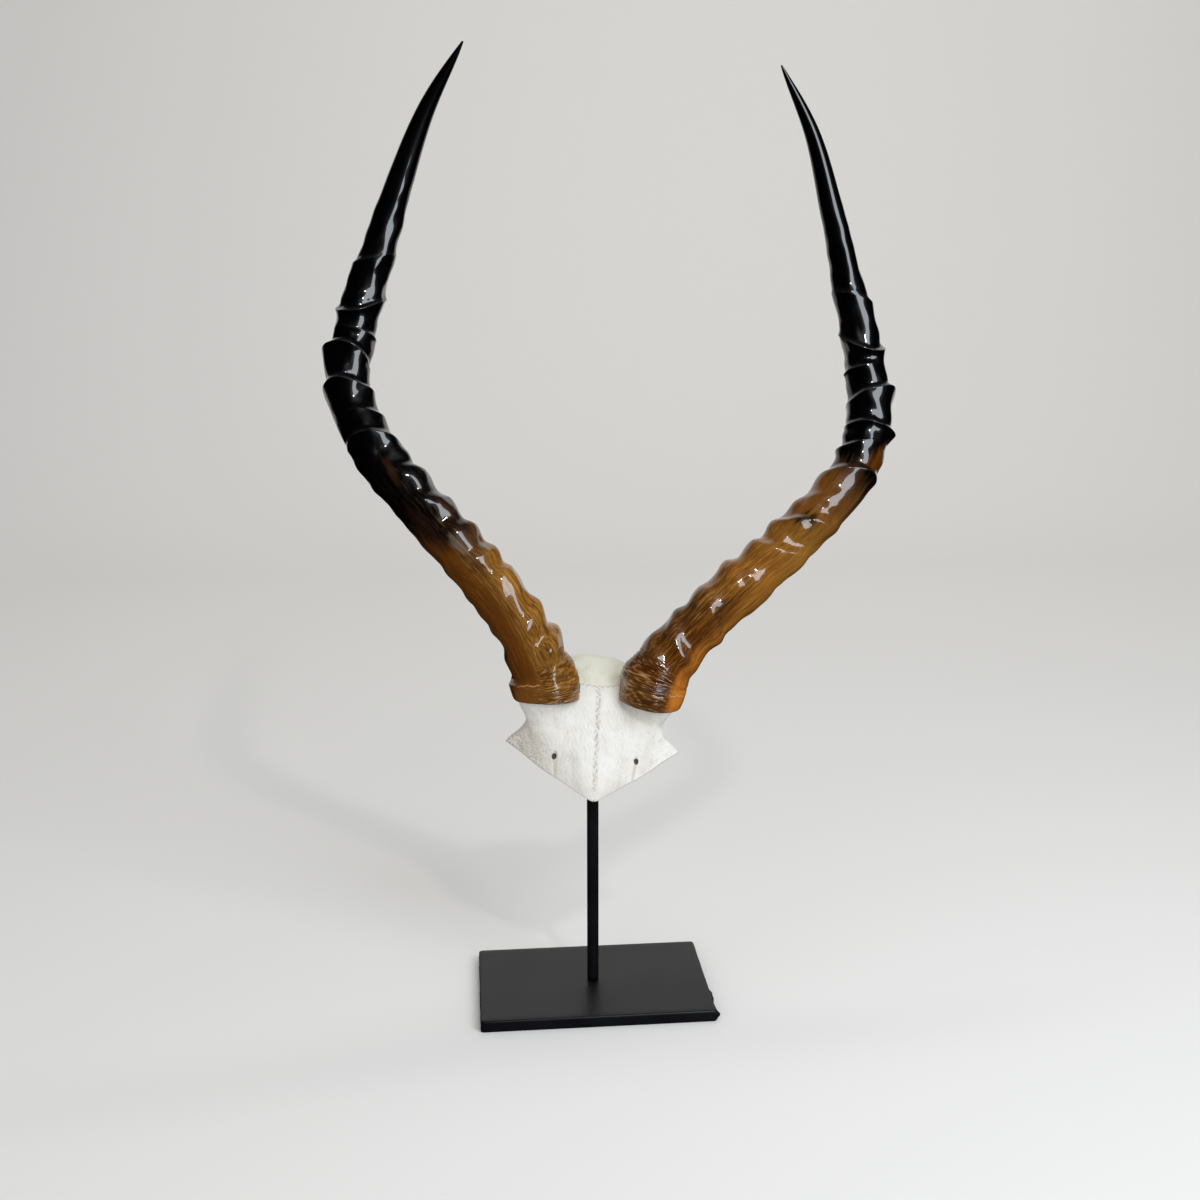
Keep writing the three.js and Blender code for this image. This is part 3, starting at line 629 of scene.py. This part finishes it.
def make_frontlet(material):
    """The outer bone over the cut and the hollowed underside, each row one closed ring."""
    x, b, h = bone_surface()
    h[:, 0] = h[:, -1] = 0
    share = (np.arange(1, UNDERSIDE_COLUMNS) / UNDERSIDE_COLUMNS)[None, :]
    under_x = x[:, -1:] + (x[:, :1] - x[:, -1:]) * share
    under_b = b[:, -1:] + (b[:, :1] - b[:, -1:]) * share
    under_h = underside_height(under_x, under_b)
    x, b, h = (np.concatenate(pair, 1) for pair in ((x, under_x), (b, under_b), (h, under_h)))
    rows, columns = x.shape
    poles = np.array([[0, 0.0, 0], [0, CAP_LENGTH, 0]])
    flat = np.concatenate([np.stack([x, b, h], -1).reshape(-1, 3), poles])
    points = trophy_to_part(skull_point(*flat.T))
    quads, fans = tube_faces(rows, columns, True)
    piece = make_piece("frontlet", points, quads, fans, material, "skull_cap")
    place_x, place_b, place_h = flat.T
    number = np.arange(len(flat))
    on_top = (number % columns < SKULL_COLUMNS) & (number < rows * columns)
    seam = np.maximum(midline_suture(place_x, place_b), cross_suture(place_x, place_b))
    crown = smoothstep(place_b - cross_suture_place(place_x), -0.5, 3)
    for label, values in (
        ("seam", seam), ("seam_band", suture_band(place_x, place_b)), ("crown", crown),
        ("hole", foramen_pit(place_x, place_b)), ("groove", foramen_groove(place_x, place_b)),
    ):
        add_attribute(piece, label, on_top * values)
    add_attribute(piece, "sawn", 1 - on_top * smoothstep(place_h, 0.1, 1.2))
    add_attribute(piece, "skull_place", flat)


# ---- stand ----
def rounded_rectangle(half_width, half_depth, corner, count=96):
    """Outline sampled evenly by arc: straight sides and quarter circles."""
    turn = np.linspace(0, pi / 2, 9)
    centres = [(1, 1), (-1, 1), (-1, -1), (1, -1)]
    outline = np.concatenate([
        np.stack([sx * (half_width - corner) + corner * np.cos(turn + quarter * pi / 2),
                  sy * (half_depth - corner) + corner * np.sin(turn + quarter * pi / 2)], 1)
        for quarter, (sx, sy) in enumerate(centres)
    ])
    closed = np.concatenate([outline, outline[:1]])
    arc = np.concatenate([[0], np.cumsum(np.linalg.norm(np.diff(closed, axis=0), axis=1))])
    even = np.unique(np.concatenate([arc[:-1], np.linspace(0, arc[-1], count, endpoint=False)]))
    return np.stack([np.interp(even, arc, closed[:, i]) for i in range(2)], 1)


def plate_burrs(x, y, z):
    """How far the black edge stands out: a nub at the right front corner, a low bump on the right
    edge, and a slight unevenness everywhere along the lower edge."""
    right = x > 60
    nub = NUB * bell(y - NUB_PLACE, 2.2) * bell(z - NUB_HEIGHT, 2.4) * right
    bump = EDGE_BUMP * smoothstep(y, -37, -33) * (1 - smoothstep(y, -25, -20)) * right
    rough = ripples(np.stack([x, y, z], -1), (9, 9, 6), 41, 16) * EDGE_ROUGHNESS
    return nub + bump * smoothstep(z, 1, 3) + rough


def make_plate(material):
    """Outline carried up the edge: a small bevel below, the side, and a rounded front bevel above,
    each ring the outline drawn in by the profile."""
    low, high = (np.array(corner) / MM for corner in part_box("base_plate"))
    half_width, half_depth, top = (high[0] - low[0]) / 2, (high[1] - low[1]) / 2, high[2]
    turn = np.linspace(0, pi / 2, 6)
    profile = [(0.5, 0), (0.15, 0.15), (0, 0.5), (0, 2), (0, 3.4), (0, 4.8)]
    profile += [(FRONT_BEVEL * (1 - cos(t)), top - FRONT_BEVEL * (1 - sin(t))) for t in turn]
    outline = rounded_rectangle(half_width, half_depth, PLATE_CORNER, 420)
    inmost = half_depth - PLATE_CORNER
    rings = []
    for inset, z in [(inmost, 0), (6, 0), *profile, (6, top), (inmost, top)]:
        x = outline[:, 0] * (half_width - inset) / half_width
        y = outline[:, 1] * (half_depth - inset) / half_depth
        out = plate_burrs(x, y, np.full_like(x, z)) * (0.3 < z < top - 1)
        side = (np.abs(x) > half_width - 3) * np.sign(x)
        rings.append(np.stack([x + out * side, y, np.full_like(x, z)], 1))
    points = np.concatenate([*rings, [[0, 0, 0], [0, 0, top]]])
    quads, fans = tube_faces(len(rings), len(outline), False)
    make_piece("stand_base", points, quads, fans, material, "base_plate")


def make_rod(material):
    """Round bar: circles carried up its length, a little smaller at both ends."""
    low, high = (np.array(corner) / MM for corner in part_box("stand_rod"))
    radius = (high[0] - low[0]) / 2
    angle = np.arange(ROD_SIDES) / ROD_SIDES * 2 * pi
    heights = np.linspace(low[2], high[2], ROD_ROWS)
    sizes = np.full(ROD_ROWS, radius)
    sizes[[0, -1]] -= ROD_EASED_EDGE
    rings = [on_tube(r, angle, z) for r, z in zip(sizes, heights)]
    points = np.concatenate([*rings, [[0, 0, low[2]], [0, 0, high[2]]]])
    quads, fans = tube_faces(len(rings), ROD_SIDES, False)
    make_piece("upright_bar", points, quads, fans, material, "stand_rod")


# ---- finishes ----
class Finish:
    """A material's nodes, made one after another."""

    def __init__(self, name):
        self.material = bpy.data.materials.new(name)
        self.material.use_nodes = True
        self.tree = self.material.node_tree
        self.shader = self.tree.nodes["Principled BSDF"]

    def put(self, value, socket):
        """Links another node's output, or sets a number, a vector or a colour."""
        if isinstance(value, bpy.types.NodeSocket):
            self.tree.links.new(value, socket)
        elif value is not None:
            opaque = (1,) if socket.type == "RGBA" else ()
            socket.default_value = (*value, *opaque) if isinstance(value, tuple) else value

    def feed(self, node, **inputs):
        for name, value in inputs.items():
            self.put(value, node.inputs[name.replace("_", " ")])

    def node(self, kind, **inputs):
        node = self.tree.nodes.new("ShaderNode" + kind)
        self.feed(node, **inputs)
        return node

    def attribute(self, name, vector=False):
        node = self.node("Attribute")
        node.attribute_name = name
        return node.outputs["Vector" if vector else "Fac"]

    def part(self, vector, axis):
        return self.node("SeparateXYZ", Vector=vector).outputs[axis]

    def stretched(self, vector, scale):
        return self.node("Mapping", Vector=vector, Scale=scale).outputs["Vector"]

    def noise(self, vector, scale, detail=4, roughness=0.55, distortion=0):
        node = self.node("TexNoise", Vector=vector, Scale=scale, Detail=detail)
        self.feed(node, Roughness=roughness, Distortion=distortion)
        return node.outputs["Fac"]

    def math(self, operation, *values):
        node = self.node("Math")
        node.operation = operation
        for value, socket in zip(values, node.inputs):
            self.put(value, socket)
        return node.outputs[0]

    def times(self, first, *others):
        for other in others:
            first = self.math("MULTIPLY", first, other)
        return first

    def plus(self, first, second):
        return self.math("ADD", first, second)

    def between(self, value, low, high, to_low=0, to_high=1):
        """From to_low to to_high as the value goes from low to high, and held there."""
        node = self.node("MapRange", Value=value, From_Min=low, From_Max=high)
        self.feed(node, To_Min=to_low, To_Max=to_high)
        return node.outputs["Result"]

    def blend(self, share, first, second, kind="MIX"):
        node = self.node("Mix")
        node.data_type = "RGBA"
        node.blend_type = kind
        for value, place in ((share, 0), (first, 6), (second, 7)):
            self.put(value, node.inputs[place])
        return node.outputs[2]

    def stain(self, colour, name, low, high, share, tint):
        """Blends up to a share of the tint in where an attribute goes from low to high."""
        return self.blend(self.between(self.attribute(name), low, high, 0, share), colour, tint)

    def ramp(self, value, stops):
        node = self.node("ValToRGB", Fac=value)
        elements = node.color_ramp.elements
        while len(elements) < len(stops):
            elements.new(0.5)
        for element, (place, colour) in zip(elements, stops):
            element.position = place
            element.color = (*colour, 1)
        return node.outputs["Color"]

    def bump(self, height, strength, distance, normal=None):
        node = self.node("Bump", Height=height, Strength=strength, Distance=distance, Normal=normal)
        return node.outputs["Normal"]

    def finish(self, colour, roughness, normal=None, **constants):
        self.feed(self.shader, Base_Color=colour, Roughness=roughness, Normal=normal, **constants)
        return self.material


RAMP_LENGTH = 520  # millimetres along the horn that a colour ramp spans
BLACK = (0.0006, 0.0006, 0.001)
SOOT = (0.002, 0.001, 0.001)
UMBER = (0.02, 0.007, 0.003)
EMBER = (0.05, 0.018, 0.005)
BARK = (0.11, 0.045, 0.01)
CHESTNUT = (0.12, 0.036, 0.002)
RUSSET = (0.15, 0.055, 0.008)
OCHRE = (0.22, 0.095, 0.013)
HONEY = (0.27, 0.105, 0.012)
GOLD = (0.34, 0.15, 0.02)
ORANGE = (0.46, 0.15, 0.014)
DUST = (0.24, 0.19, 0.15)

# Each horn's colours up its inner side, its front and its outer side; where on its outer side the
# front's colour gives way; how plain the outer side is; spots (distance from the rim, degrees round
# from the front, half length, half width in degrees, colour, share); the pale crack near the rim
# (distance, first and last degree); and how far a brown wedge reaches into the black.
LEFT_LOOK = {
    "inner": [(0, OCHRE), (60, GOLD), (88, GOLD), (112, BARK), (124, UMBER), (140, SOOT), (210, BLACK)],
    "front": [(0, OCHRE), (78, OCHRE), (94, BARK), (112, BARK), (124, UMBER), (134, SOOT), (210, BLACK)],
    "outer": [(0, RUSSET), (14, CHESTNUT), (112, CHESTNUT), (134, UMBER), (158, SOOT), (210, BLACK)],
    "turn": (-0.08, 0.24), "plain": 0.6,
    "spots": [
        (118, -13, 8, 14, DUST, 0.45), (181, -12, 8, 13, EMBER, 0.45), (107, -52, 7, 20, UMBER, 0.7),
        (141, -50, 8, 20, EMBER, 0.6), (64, -6, 7, 7, CHESTNUT, 0.5),
    ],
    "crack": (8, 8, 52), "wedge": 0,
}
RIGHT_LOOK = {
    "inner": [
        (0, OCHRE), (18, RUSSET), (56, BARK), (72, OCHRE), (92, HONEY), (132, OCHRE), (148, RUSSET),
        (190, RUSSET), (204, EMBER), (214, BLACK),
    ],
    "front": [
        (0, BARK), (16, CHESTNUT), (62, CHESTNUT), (90, HONEY), (120, HONEY), (148, OCHRE), (174, RUSSET),
        (200, EMBER), (211, BLACK),
    ],
    "outer": [
        (0, ORANGE), (28, ORANGE), (58, HONEY), (100, HONEY), (135, GOLD), (166, OCHRE), (186, BARK),
        (202, UMBER), (210, BLACK),
    ],
    "turn": (0.16, 0.52), "plain": 0.25,
    "spots": [
        (157, -30, 7, 27, SOOT, 0.85), (71, -12, 6, 13, UMBER, 0.6), (100, -30, 5, 14, CHESTNUT, 0.5),
    ],
    "crack": (3, 15, 52), "wedge": 28,
}
WEDGE_START = 212  # where the black begins
# HOLLOW_PAINTED_SHADE is painted shade for the hollows between the rim wrinkles.
DARK_BAND, DARK_LINE, HOLLOW_PAINTED_SHADE = (0.3, 0.22, 0.16), (0.24, 0.16, 0.1), (0.25, 0.15, 0.1)
PALE_FIBRE, PALE_WRINKLE, PALE_CRACK = (0.5, 0.27, 0.06), (0.55, 0.35, 0.18), (0.6, 0.32, 0.14)
# LINING_PAINTED_SHADE is painted shade for the cavity and the underside of the rim.
PALE_CREST, DUSTY_FLANK, LINING_PAINTED_SHADE = (0.42, 0.36, 0.33), (0.12, 0.12, 0.13), (0.035, 0.02, 0.014)


def horn_spots(f, colour, spots, station, degrees):
    """Each spot is √((ds / long)² + (dθ / wide)²) turned into a soft edge."""
    for mm, turn, half_length, half_turn, tint, strength in spots:
        along = f.math("DIVIDE", f.plus(station, -mm), half_length)
        across = f.math("DIVIDE", f.plus(degrees, -turn), half_turn)
        away = f.math("SQRT", f.plus(f.times(along, along), f.times(across, across)))
        colour = f.blend(f.between(away, 0.5, 1.2, strength, 0), colour, tint)
    return colour


def brown_wedge(f, colour, length, station, wandered, outer_side, degrees):
    """Brown that runs up into the black, further the nearer it is to the outer side."""
    reach = f.plus(WEDGE_START, f.times(f.plus(outer_side, 0.17), length))
    share = f.between(f.math("SUBTRACT", wandered, reach), -6, 2, 0.85, 0)
    share = f.times(share, f.between(station, WEDGE_START, WEDGE_START + 3))
    return f.blend(f.times(share, f.between(degrees, 70, 115, 1, 0)), colour, CHESTNUT)


def horn_grain(f, colour, plain, station, outward, streaks, fibres):
    """Dark bands and lines and a few pale fibres, fainter near the rim, on the plain outer side and
    further up."""
    grained = f.times(f.between(station, 6, 26), f.between(outward, 0, 1, 1, 1 - plain))
    grained = f.times(grained, f.between(station, 80, 140, 1, 0.6))
    banded = f.times(grained, f.between(streaks, 0.38, 0.56, 0.55, 0))
    colour = f.blend(banded, colour, DARK_BAND, "MULTIPLY")
    lined = f.times(grained, f.between(fibres, 0.42, 0.55, 0.8, 0))
    colour = f.blend(lined, colour, DARK_LINE, "MULTIPLY")
    glow = f.times(f.between(fibres, 0.55, 0.68, 0, 0.5), f.between(station, 90, 190, 1, 0), grained)
    return f.blend(glow, colour, PALE_FIBRE)


def rim_marks(f, colour, crack, station, outward, streaks, degrees):
    """Bark-like wrinkles with painted shade in their hollows and pale on top, and one pale crack."""
    wrinkles = f.attribute("wrinkle")
    # Painted shade: the hollows between the wrinkles are darkened as if in shadow.
    hollows = f.times(f.between(wrinkles, 0, 0.3, 0.75, 0), f.between(station, 14, 22, 1, 0))
    hollows = f.times(hollows, f.between(outward, 0.2, 0.8, 1, 0))
    colour = f.blend(hollows, colour, HOLLOW_PAINTED_SHADE, "MULTIPLY")
    colour = f.blend(f.between(wrinkles, 0.55, 0.95, 0, 0.45), colour, PALE_WRINKLE)
    middle, first, last = crack
    wavy = f.plus(station, f.between(streaks, 0, 1, -3, 3))
    offset = f.math("ABSOLUTE", f.plus(wavy, -middle))
    line = f.times(f.between(offset, 0.15, 0.5, 0.7, 0), f.between(degrees, first, first + 5))
    return f.blend(f.times(line, f.between(degrees, last, last + 5, 1, 0)), colour, PALE_CRACK)


def ring_marks(f, colour, station, outer_side, drift):
    """Faint pale lines on the upper crests, here and there and not on the outer side, and dust on
    the flanks above them."""
    crest = f.times(f.attribute("ring_edge"), f.between(station, 190, 215, 0, 0.06))
    crest = f.times(crest, f.between(drift, 0.42, 0.58), f.between(outer_side, -0.1, 0.5, 1, 0))
    colour = f.blend(crest, colour, PALE_CREST)
    dusty = f.times(f.attribute("ring_flank"), f.between(station, 200, 240, 0, 0.1))
    return f.blend(dusty, colour, DUSTY_FLANK)


def lacquered_horn(name, look):
    """Horn under clear lacquer: three colour ramps along it that wander a little, blended round the
    horn, then the spots, the wedge, the grain and the marks on rim and rings."""
    f = Finish(name)
    place = f.attribute("horn_place", True)
    station = f.part(place, "Z")
    outer_side = f.attribute("outer_side")
    degrees = f.times(f.math("ARCTAN2", outer_side, f.attribute("front_side")), 180 / pi)
    drift = f.noise(f.stretched(place, (0.06, 0.06, 0.02)), 1, 3)
    streaks = f.noise(f.stretched(place, (0.36, 0.36, 0.02)), 1, 5, 0.6, 0.3)
    fibres = f.noise(f.stretched(place, (1.25, 1.25, 0.025)), 1, 6, 0.7, 0.35)
    wander = f.plus(f.between(drift, 0.3, 0.7, -9, 9), f.between(streaks, 0.3, 0.7, -7, 7))
    wandered = f.plus(station, wander)
    share = f.math("DIVIDE", wandered, RAMP_LENGTH)
    inner, front, outer = (
        f.ramp(share, [(mm / RAMP_LENGTH, colour) for mm, colour in look[side]])
        for side in ("inner", "front", "outer")
    )
    ragged = f.plus(outer_side, f.between(streaks, 0.3, 0.7, -0.1, 0.1))
    outward = f.between(ragged, *look["turn"])
    colour = f.blend(f.between(outer_side, -0.85, -0.3), inner, front)
    colour = f.blend(outward, colour, outer)
    colour = horn_spots(f, colour, look["spots"], wandered, degrees)
    if look["wedge"]:
        colour = brown_wedge(f, colour, look["wedge"], station, wandered, outer_side, degrees)
    colour = horn_grain(f, colour, look["plain"], station, outward, streaks, fibres)
    colour = rim_marks(f, colour, look["crack"], station, outward, streaks, degrees)
    colour = ring_marks(f, colour, station, outer_side, drift)
    # Painted shade: the cavity lining and the underside of the rim are made nearly black, as if in shadow.
    colour = f.blend(f.attribute("underside"), colour, LINING_PAINTED_SHADE)
    grain = f.bump(fibres, f.between(station, 150, 240, 0.35, 0.06), 0.0004)
    ground = f.bump(f.noise(place, 0.5, 3), f.between(station, 230, 350, 0.25, 0.04), 0.0005, grain)
    roughness = f.between(f.attribute("ring_flank"), 0, 1, 0.3, 0.45)
    coat = {"Coat_Weight": 1.0, "Coat_Roughness": 0.035, "Coat_IOR": 1.5, "Specular_IOR_Level": 0.15}
    return f.finish(colour, roughness, ground, **coat)


IVORY = [(0.3, (0.7, 0.665, 0.595)), (0.5, (0.785, 0.765, 0.715)), (0.66, (0.83, 0.815, 0.78))]
# BROW_PAINTED_SHADE is painted shade that darkens the middle of the brow.
BROW_PAINTED_SHADE = (0.82, 0.81, 0.8)
STAIN, WING_PIT, VEIN = (0.52, 0.46, 0.38), (0.33, 0.28, 0.22), (0.44, 0.39, 0.32)
GREENISH, SEAM_BROWN, SEAM_MARK = (0.63, 0.62, 0.48), (0.24, 0.19, 0.13), (0.34, 0.28, 0.2)
# HOLE_PAINTED_SHADE is painted shade that makes the shallow pits look like deep holes.
GROOVE_OCHRE, HOLE_PAINTED_SHADE, SAWN_GREY = (0.42, 0.34, 0.23), (0.03, 0.016, 0.006), (0.42, 0.4, 0.36)


def bleached_bone():
    """Ivory bone: a rough stained left wing, thin veins, fine pits and scratches that follow the
    skull, a greenish crown behind the cross seam, dark zigzag seams, and painted shade in the holes."""
    f = Finish("bleached_bone")
    place = f.attribute("skull_place", True)
    pits = f.noise(place, 0.9, 5, 0.65)
    scratches = f.noise(f.stretched(place, (1.5, 0.1, 0.5)), 1, 5, 0.6, 0.4)
    colour = f.ramp(f.noise(place, 0.04, 3), IVORY)
    across = f.part(place, "X")
    aside = f.math("ABSOLUTE", across)
    # Painted shade: the middle of the brow, where most light falls, is darkened so that the sides match it.
    colour = f.blend(f.between(aside, 16, 40, 1, 0), colour, BROW_PAINTED_SHADE, "MULTIPLY")
    left_wing = f.times(f.between(across, -20, -46), f.between(f.part(place, "Z"), 26, 8))
    colour = f.blend(f.times(left_wing, 0.5), colour, STAIN)
    colour = f.blend(f.times(left_wing, f.between(pits, 0.48, 0.56, 0, 0.7)), colour, WING_PIT)
    veins = f.noise(f.stretched(place, (0.17, 0.055, 0.12)), 1, 4, 0.6, 0.5)
    vein = f.between(f.math("ABSOLUTE", f.plus(veins, -0.5)), 0, 0.014, 0.5, 0)
    colour = f.blend(f.times(vein, f.between(aside, 6, 16)), colour, VEIN)
    colour = f.blend(f.between(scratches, 0.55, 0.68, 0, 0.4), colour, STAIN)
    colour = f.stain(colour, "crown", 0, 1, 0.62, GREENISH)
    colour = f.stain(colour, "seam", 0.35, 0.9, 0.6, SEAM_BROWN)
    marks = f.noise(f.stretched(place, (1.5, 1.1, 1)), 1, 2, 0.5, 1.5)
    dotted = f.times(f.attribute("seam_band"), f.between(marks, 0.53, 0.6), 0.6)
    colour = f.blend(dotted, colour, SEAM_MARK)
    colour = f.stain(colour, "groove", 0.3, 1, 0.55, GROOVE_OCHRE)
    # Painted shade: the holes are made nearly black, as if deep, over a shallow pit.
    colour = f.stain(colour, "hole", 0.05, 0.35, 0.97, HOLE_PAINTED_SHADE)
    colour = f.stain(colour, "sawn", 0.2, 1, 0.5, SAWN_GREY)
    surface = f.bump(pits, 0.3, 0.0006, f.bump(scratches, 0.3, 0.0005))
    return f.finish(colour, f.between(pits, 0.3, 0.7, 0.38, 0.55), surface, Specular_IOR_Level=0.4)


BLACK_PAINT, WORN_PAINT = (0.004, 0.004, 0.0052), (0.007, 0.007, 0.0085)


def black_steel(name, shine):
    """Satin black paint, slightly uneven, rubbed a little paler in places."""
    f = Finish(name)
    place = f.node("TexCoord").outputs["Object"]
    clouds = f.noise(place, 18, 4)
    speckle = f.noise(place, 1400, 3)
    colour = f.blend(f.between(clouds, 0.35, 0.65), BLACK_PAINT, WORN_PAINT)
    roughness = f.between(clouds, 0.3, 0.7, 0.3, 0.42)
    return f.finish(colour, roughness, f.bump(speckle, 0.12, 0.0002), Specular_IOR_Level=shine)


# ---- studio, in metres ----
ROOM_HALF_WIDTH, WALL_TOP = 6, 5
WALL_CURVE_START, WALL_CURVE = 1.5, 1.2
WALL_MIDDLE = 2.4  # half width of the part of the wall that shows in gloss
CAMERA_PLACE = (-0.0794, -0.8957, 0.4932)
CAMERA_PITCH, CAMERA_TURN, CAMERA_LENS = 76.909, -5.386, 41.67


def make_stage(name, sides, depth, height, material, mirrored):
    """A profile of depth and height carried from side to side; unless mirrored, it doesn't show in
    gloss."""
    sides = np.array(sides)[:, None]
    points = np.stack([sides + 0 * depth, depth + 0 * sides, height + 0 * sides], -1).reshape(-1, 3)
    count = len(depth)
    near = np.arange(count - 1)
    faces = np.stack([near, near + count, near + count + 1, near + 1], 1)
    stage = add_mesh(name, points, faces.tolist(), material)
    stage.visible_glossy = mirrored


def make_room():
    """A flat floor that runs into a quarter circle and a wall behind. The gloss mirrors only the
    middle of the wall, so that the undersides and outer sides of the horns stay dark."""
    material = Finish("pale_floor").finish((0.7, 0.69, 0.67), 0.7, Specular_IOR_Level=0.1)
    side = ROOM_HALF_WIDTH
    turn = np.linspace(0, pi / 2, 24)
    make_stage("floor", (-side, side), np.array([-side, WALL_CURVE_START]), np.zeros(2), material, False)
    depth = np.concatenate([WALL_CURVE_START + WALL_CURVE * np.sin(turn), [WALL_CURVE_START + WALL_CURVE]])
    height = np.concatenate([WALL_CURVE * (1 - np.cos(turn)), [WALL_TOP]])
    make_stage("wall", (-WALL_MIDDLE, WALL_MIDDLE), depth, height, material, True)
    make_stage("wall_left", (-side, -WALL_MIDDLE), depth, height, material, False)
    make_stage("wall_right", (WALL_MIDDLE, side), depth, height, material, False)


def area_light(name, place, target, size, power, colour=(1, 1, 1), mirrored=True):
    """A rectangle of light at a place, turned to face a target; unless mirrored, it lights things
    without showing in their gloss."""
    data = bpy.data.lights.new(name, "AREA")
    data.shape = "RECTANGLE"
    data.size, data.size_y = size
    data.energy = power
    data.color = colour
    lamp = add_object(name, data)
    away = np.array(target, float) - np.array(place, float)
    pitch = atan2(np.hypot(away[0], away[1]), -away[2])
    lamp.location = place
    lamp.rotation_euler = (pitch, 0, atan2(-away[0], away[1]))
    lamp.visible_glossy = mirrored


def light_studio():
    """A window and a lamp that show in the gloss, and soft light from all round that doesn't."""
    world = bpy.data.worlds.new("pale_room")
    bpy.context.scene.world = world
    world.use_nodes = True
    sky = world.node_tree.nodes["Background"]
    sky.inputs["Color"].default_value = (0.97, 0.98, 1, 1)
    sky.inputs["Strength"].default_value = 0.5
    world.cycles_visibility.glossy = False
    middle = (0, 0, 0.35)
    area_light("window", (0.68, -0.86, 0.98), middle, (0.6, 0.95), 12.5, (0.86, 0.93, 1))
    area_light("lamp", (0.3, -1.1, 1.5), middle, (0.1, 0.1), 4.5, (1, 0.97, 0.92))
    area_light("ceiling", (0, 0.2, 2.9), (0, 0.3, 0), (2.6, 2.6), 6, mirrored=False)
    on_wall = (0.6, 2.7, 0.9)
    area_light("wall_light", (0.9, 1.0, 2.6), on_wall, (3.5, 0.6), 28, (1, 0.985, 0.96), mirrored=False)
    area_light("fill", (-1.2, -1.6, 1.0), middle, (1.2, 1.2), 6, mirrored=False)


def place_camera():
    """In front, above the middle of the horns, looking slightly down and to the right."""
    data = bpy.data.cameras.new("camera")
    data.sensor_width = 36
    data.lens = CAMERA_LENS
    camera = add_object("camera", data)
    camera.location = CAMERA_PLACE
    camera.rotation_euler = (radians(CAMERA_PITCH), 0, radians(CAMERA_TURN))
    bpy.context.scene.camera = camera
    bpy.context.scene.view_settings.view_transform = "Standard"


place_camera()
lay_line(LEFT_HORN)
lay_line(RIGHT_HORN)
make_plate(black_steel("satin_black_plate", 0.34))
make_rod(black_steel("dull_black_bar", 0.1))
make_frontlet(bleached_bone())
make_horn(LEFT_HORN, "left_sheath", lacquered_horn("left_lacquer", LEFT_LOOK), "horn_left")
make_horn(RIGHT_HORN, "right_sheath", lacquered_horn("right_lacquer", RIGHT_LOOK), "horn_right")
make_room()
light_studio()
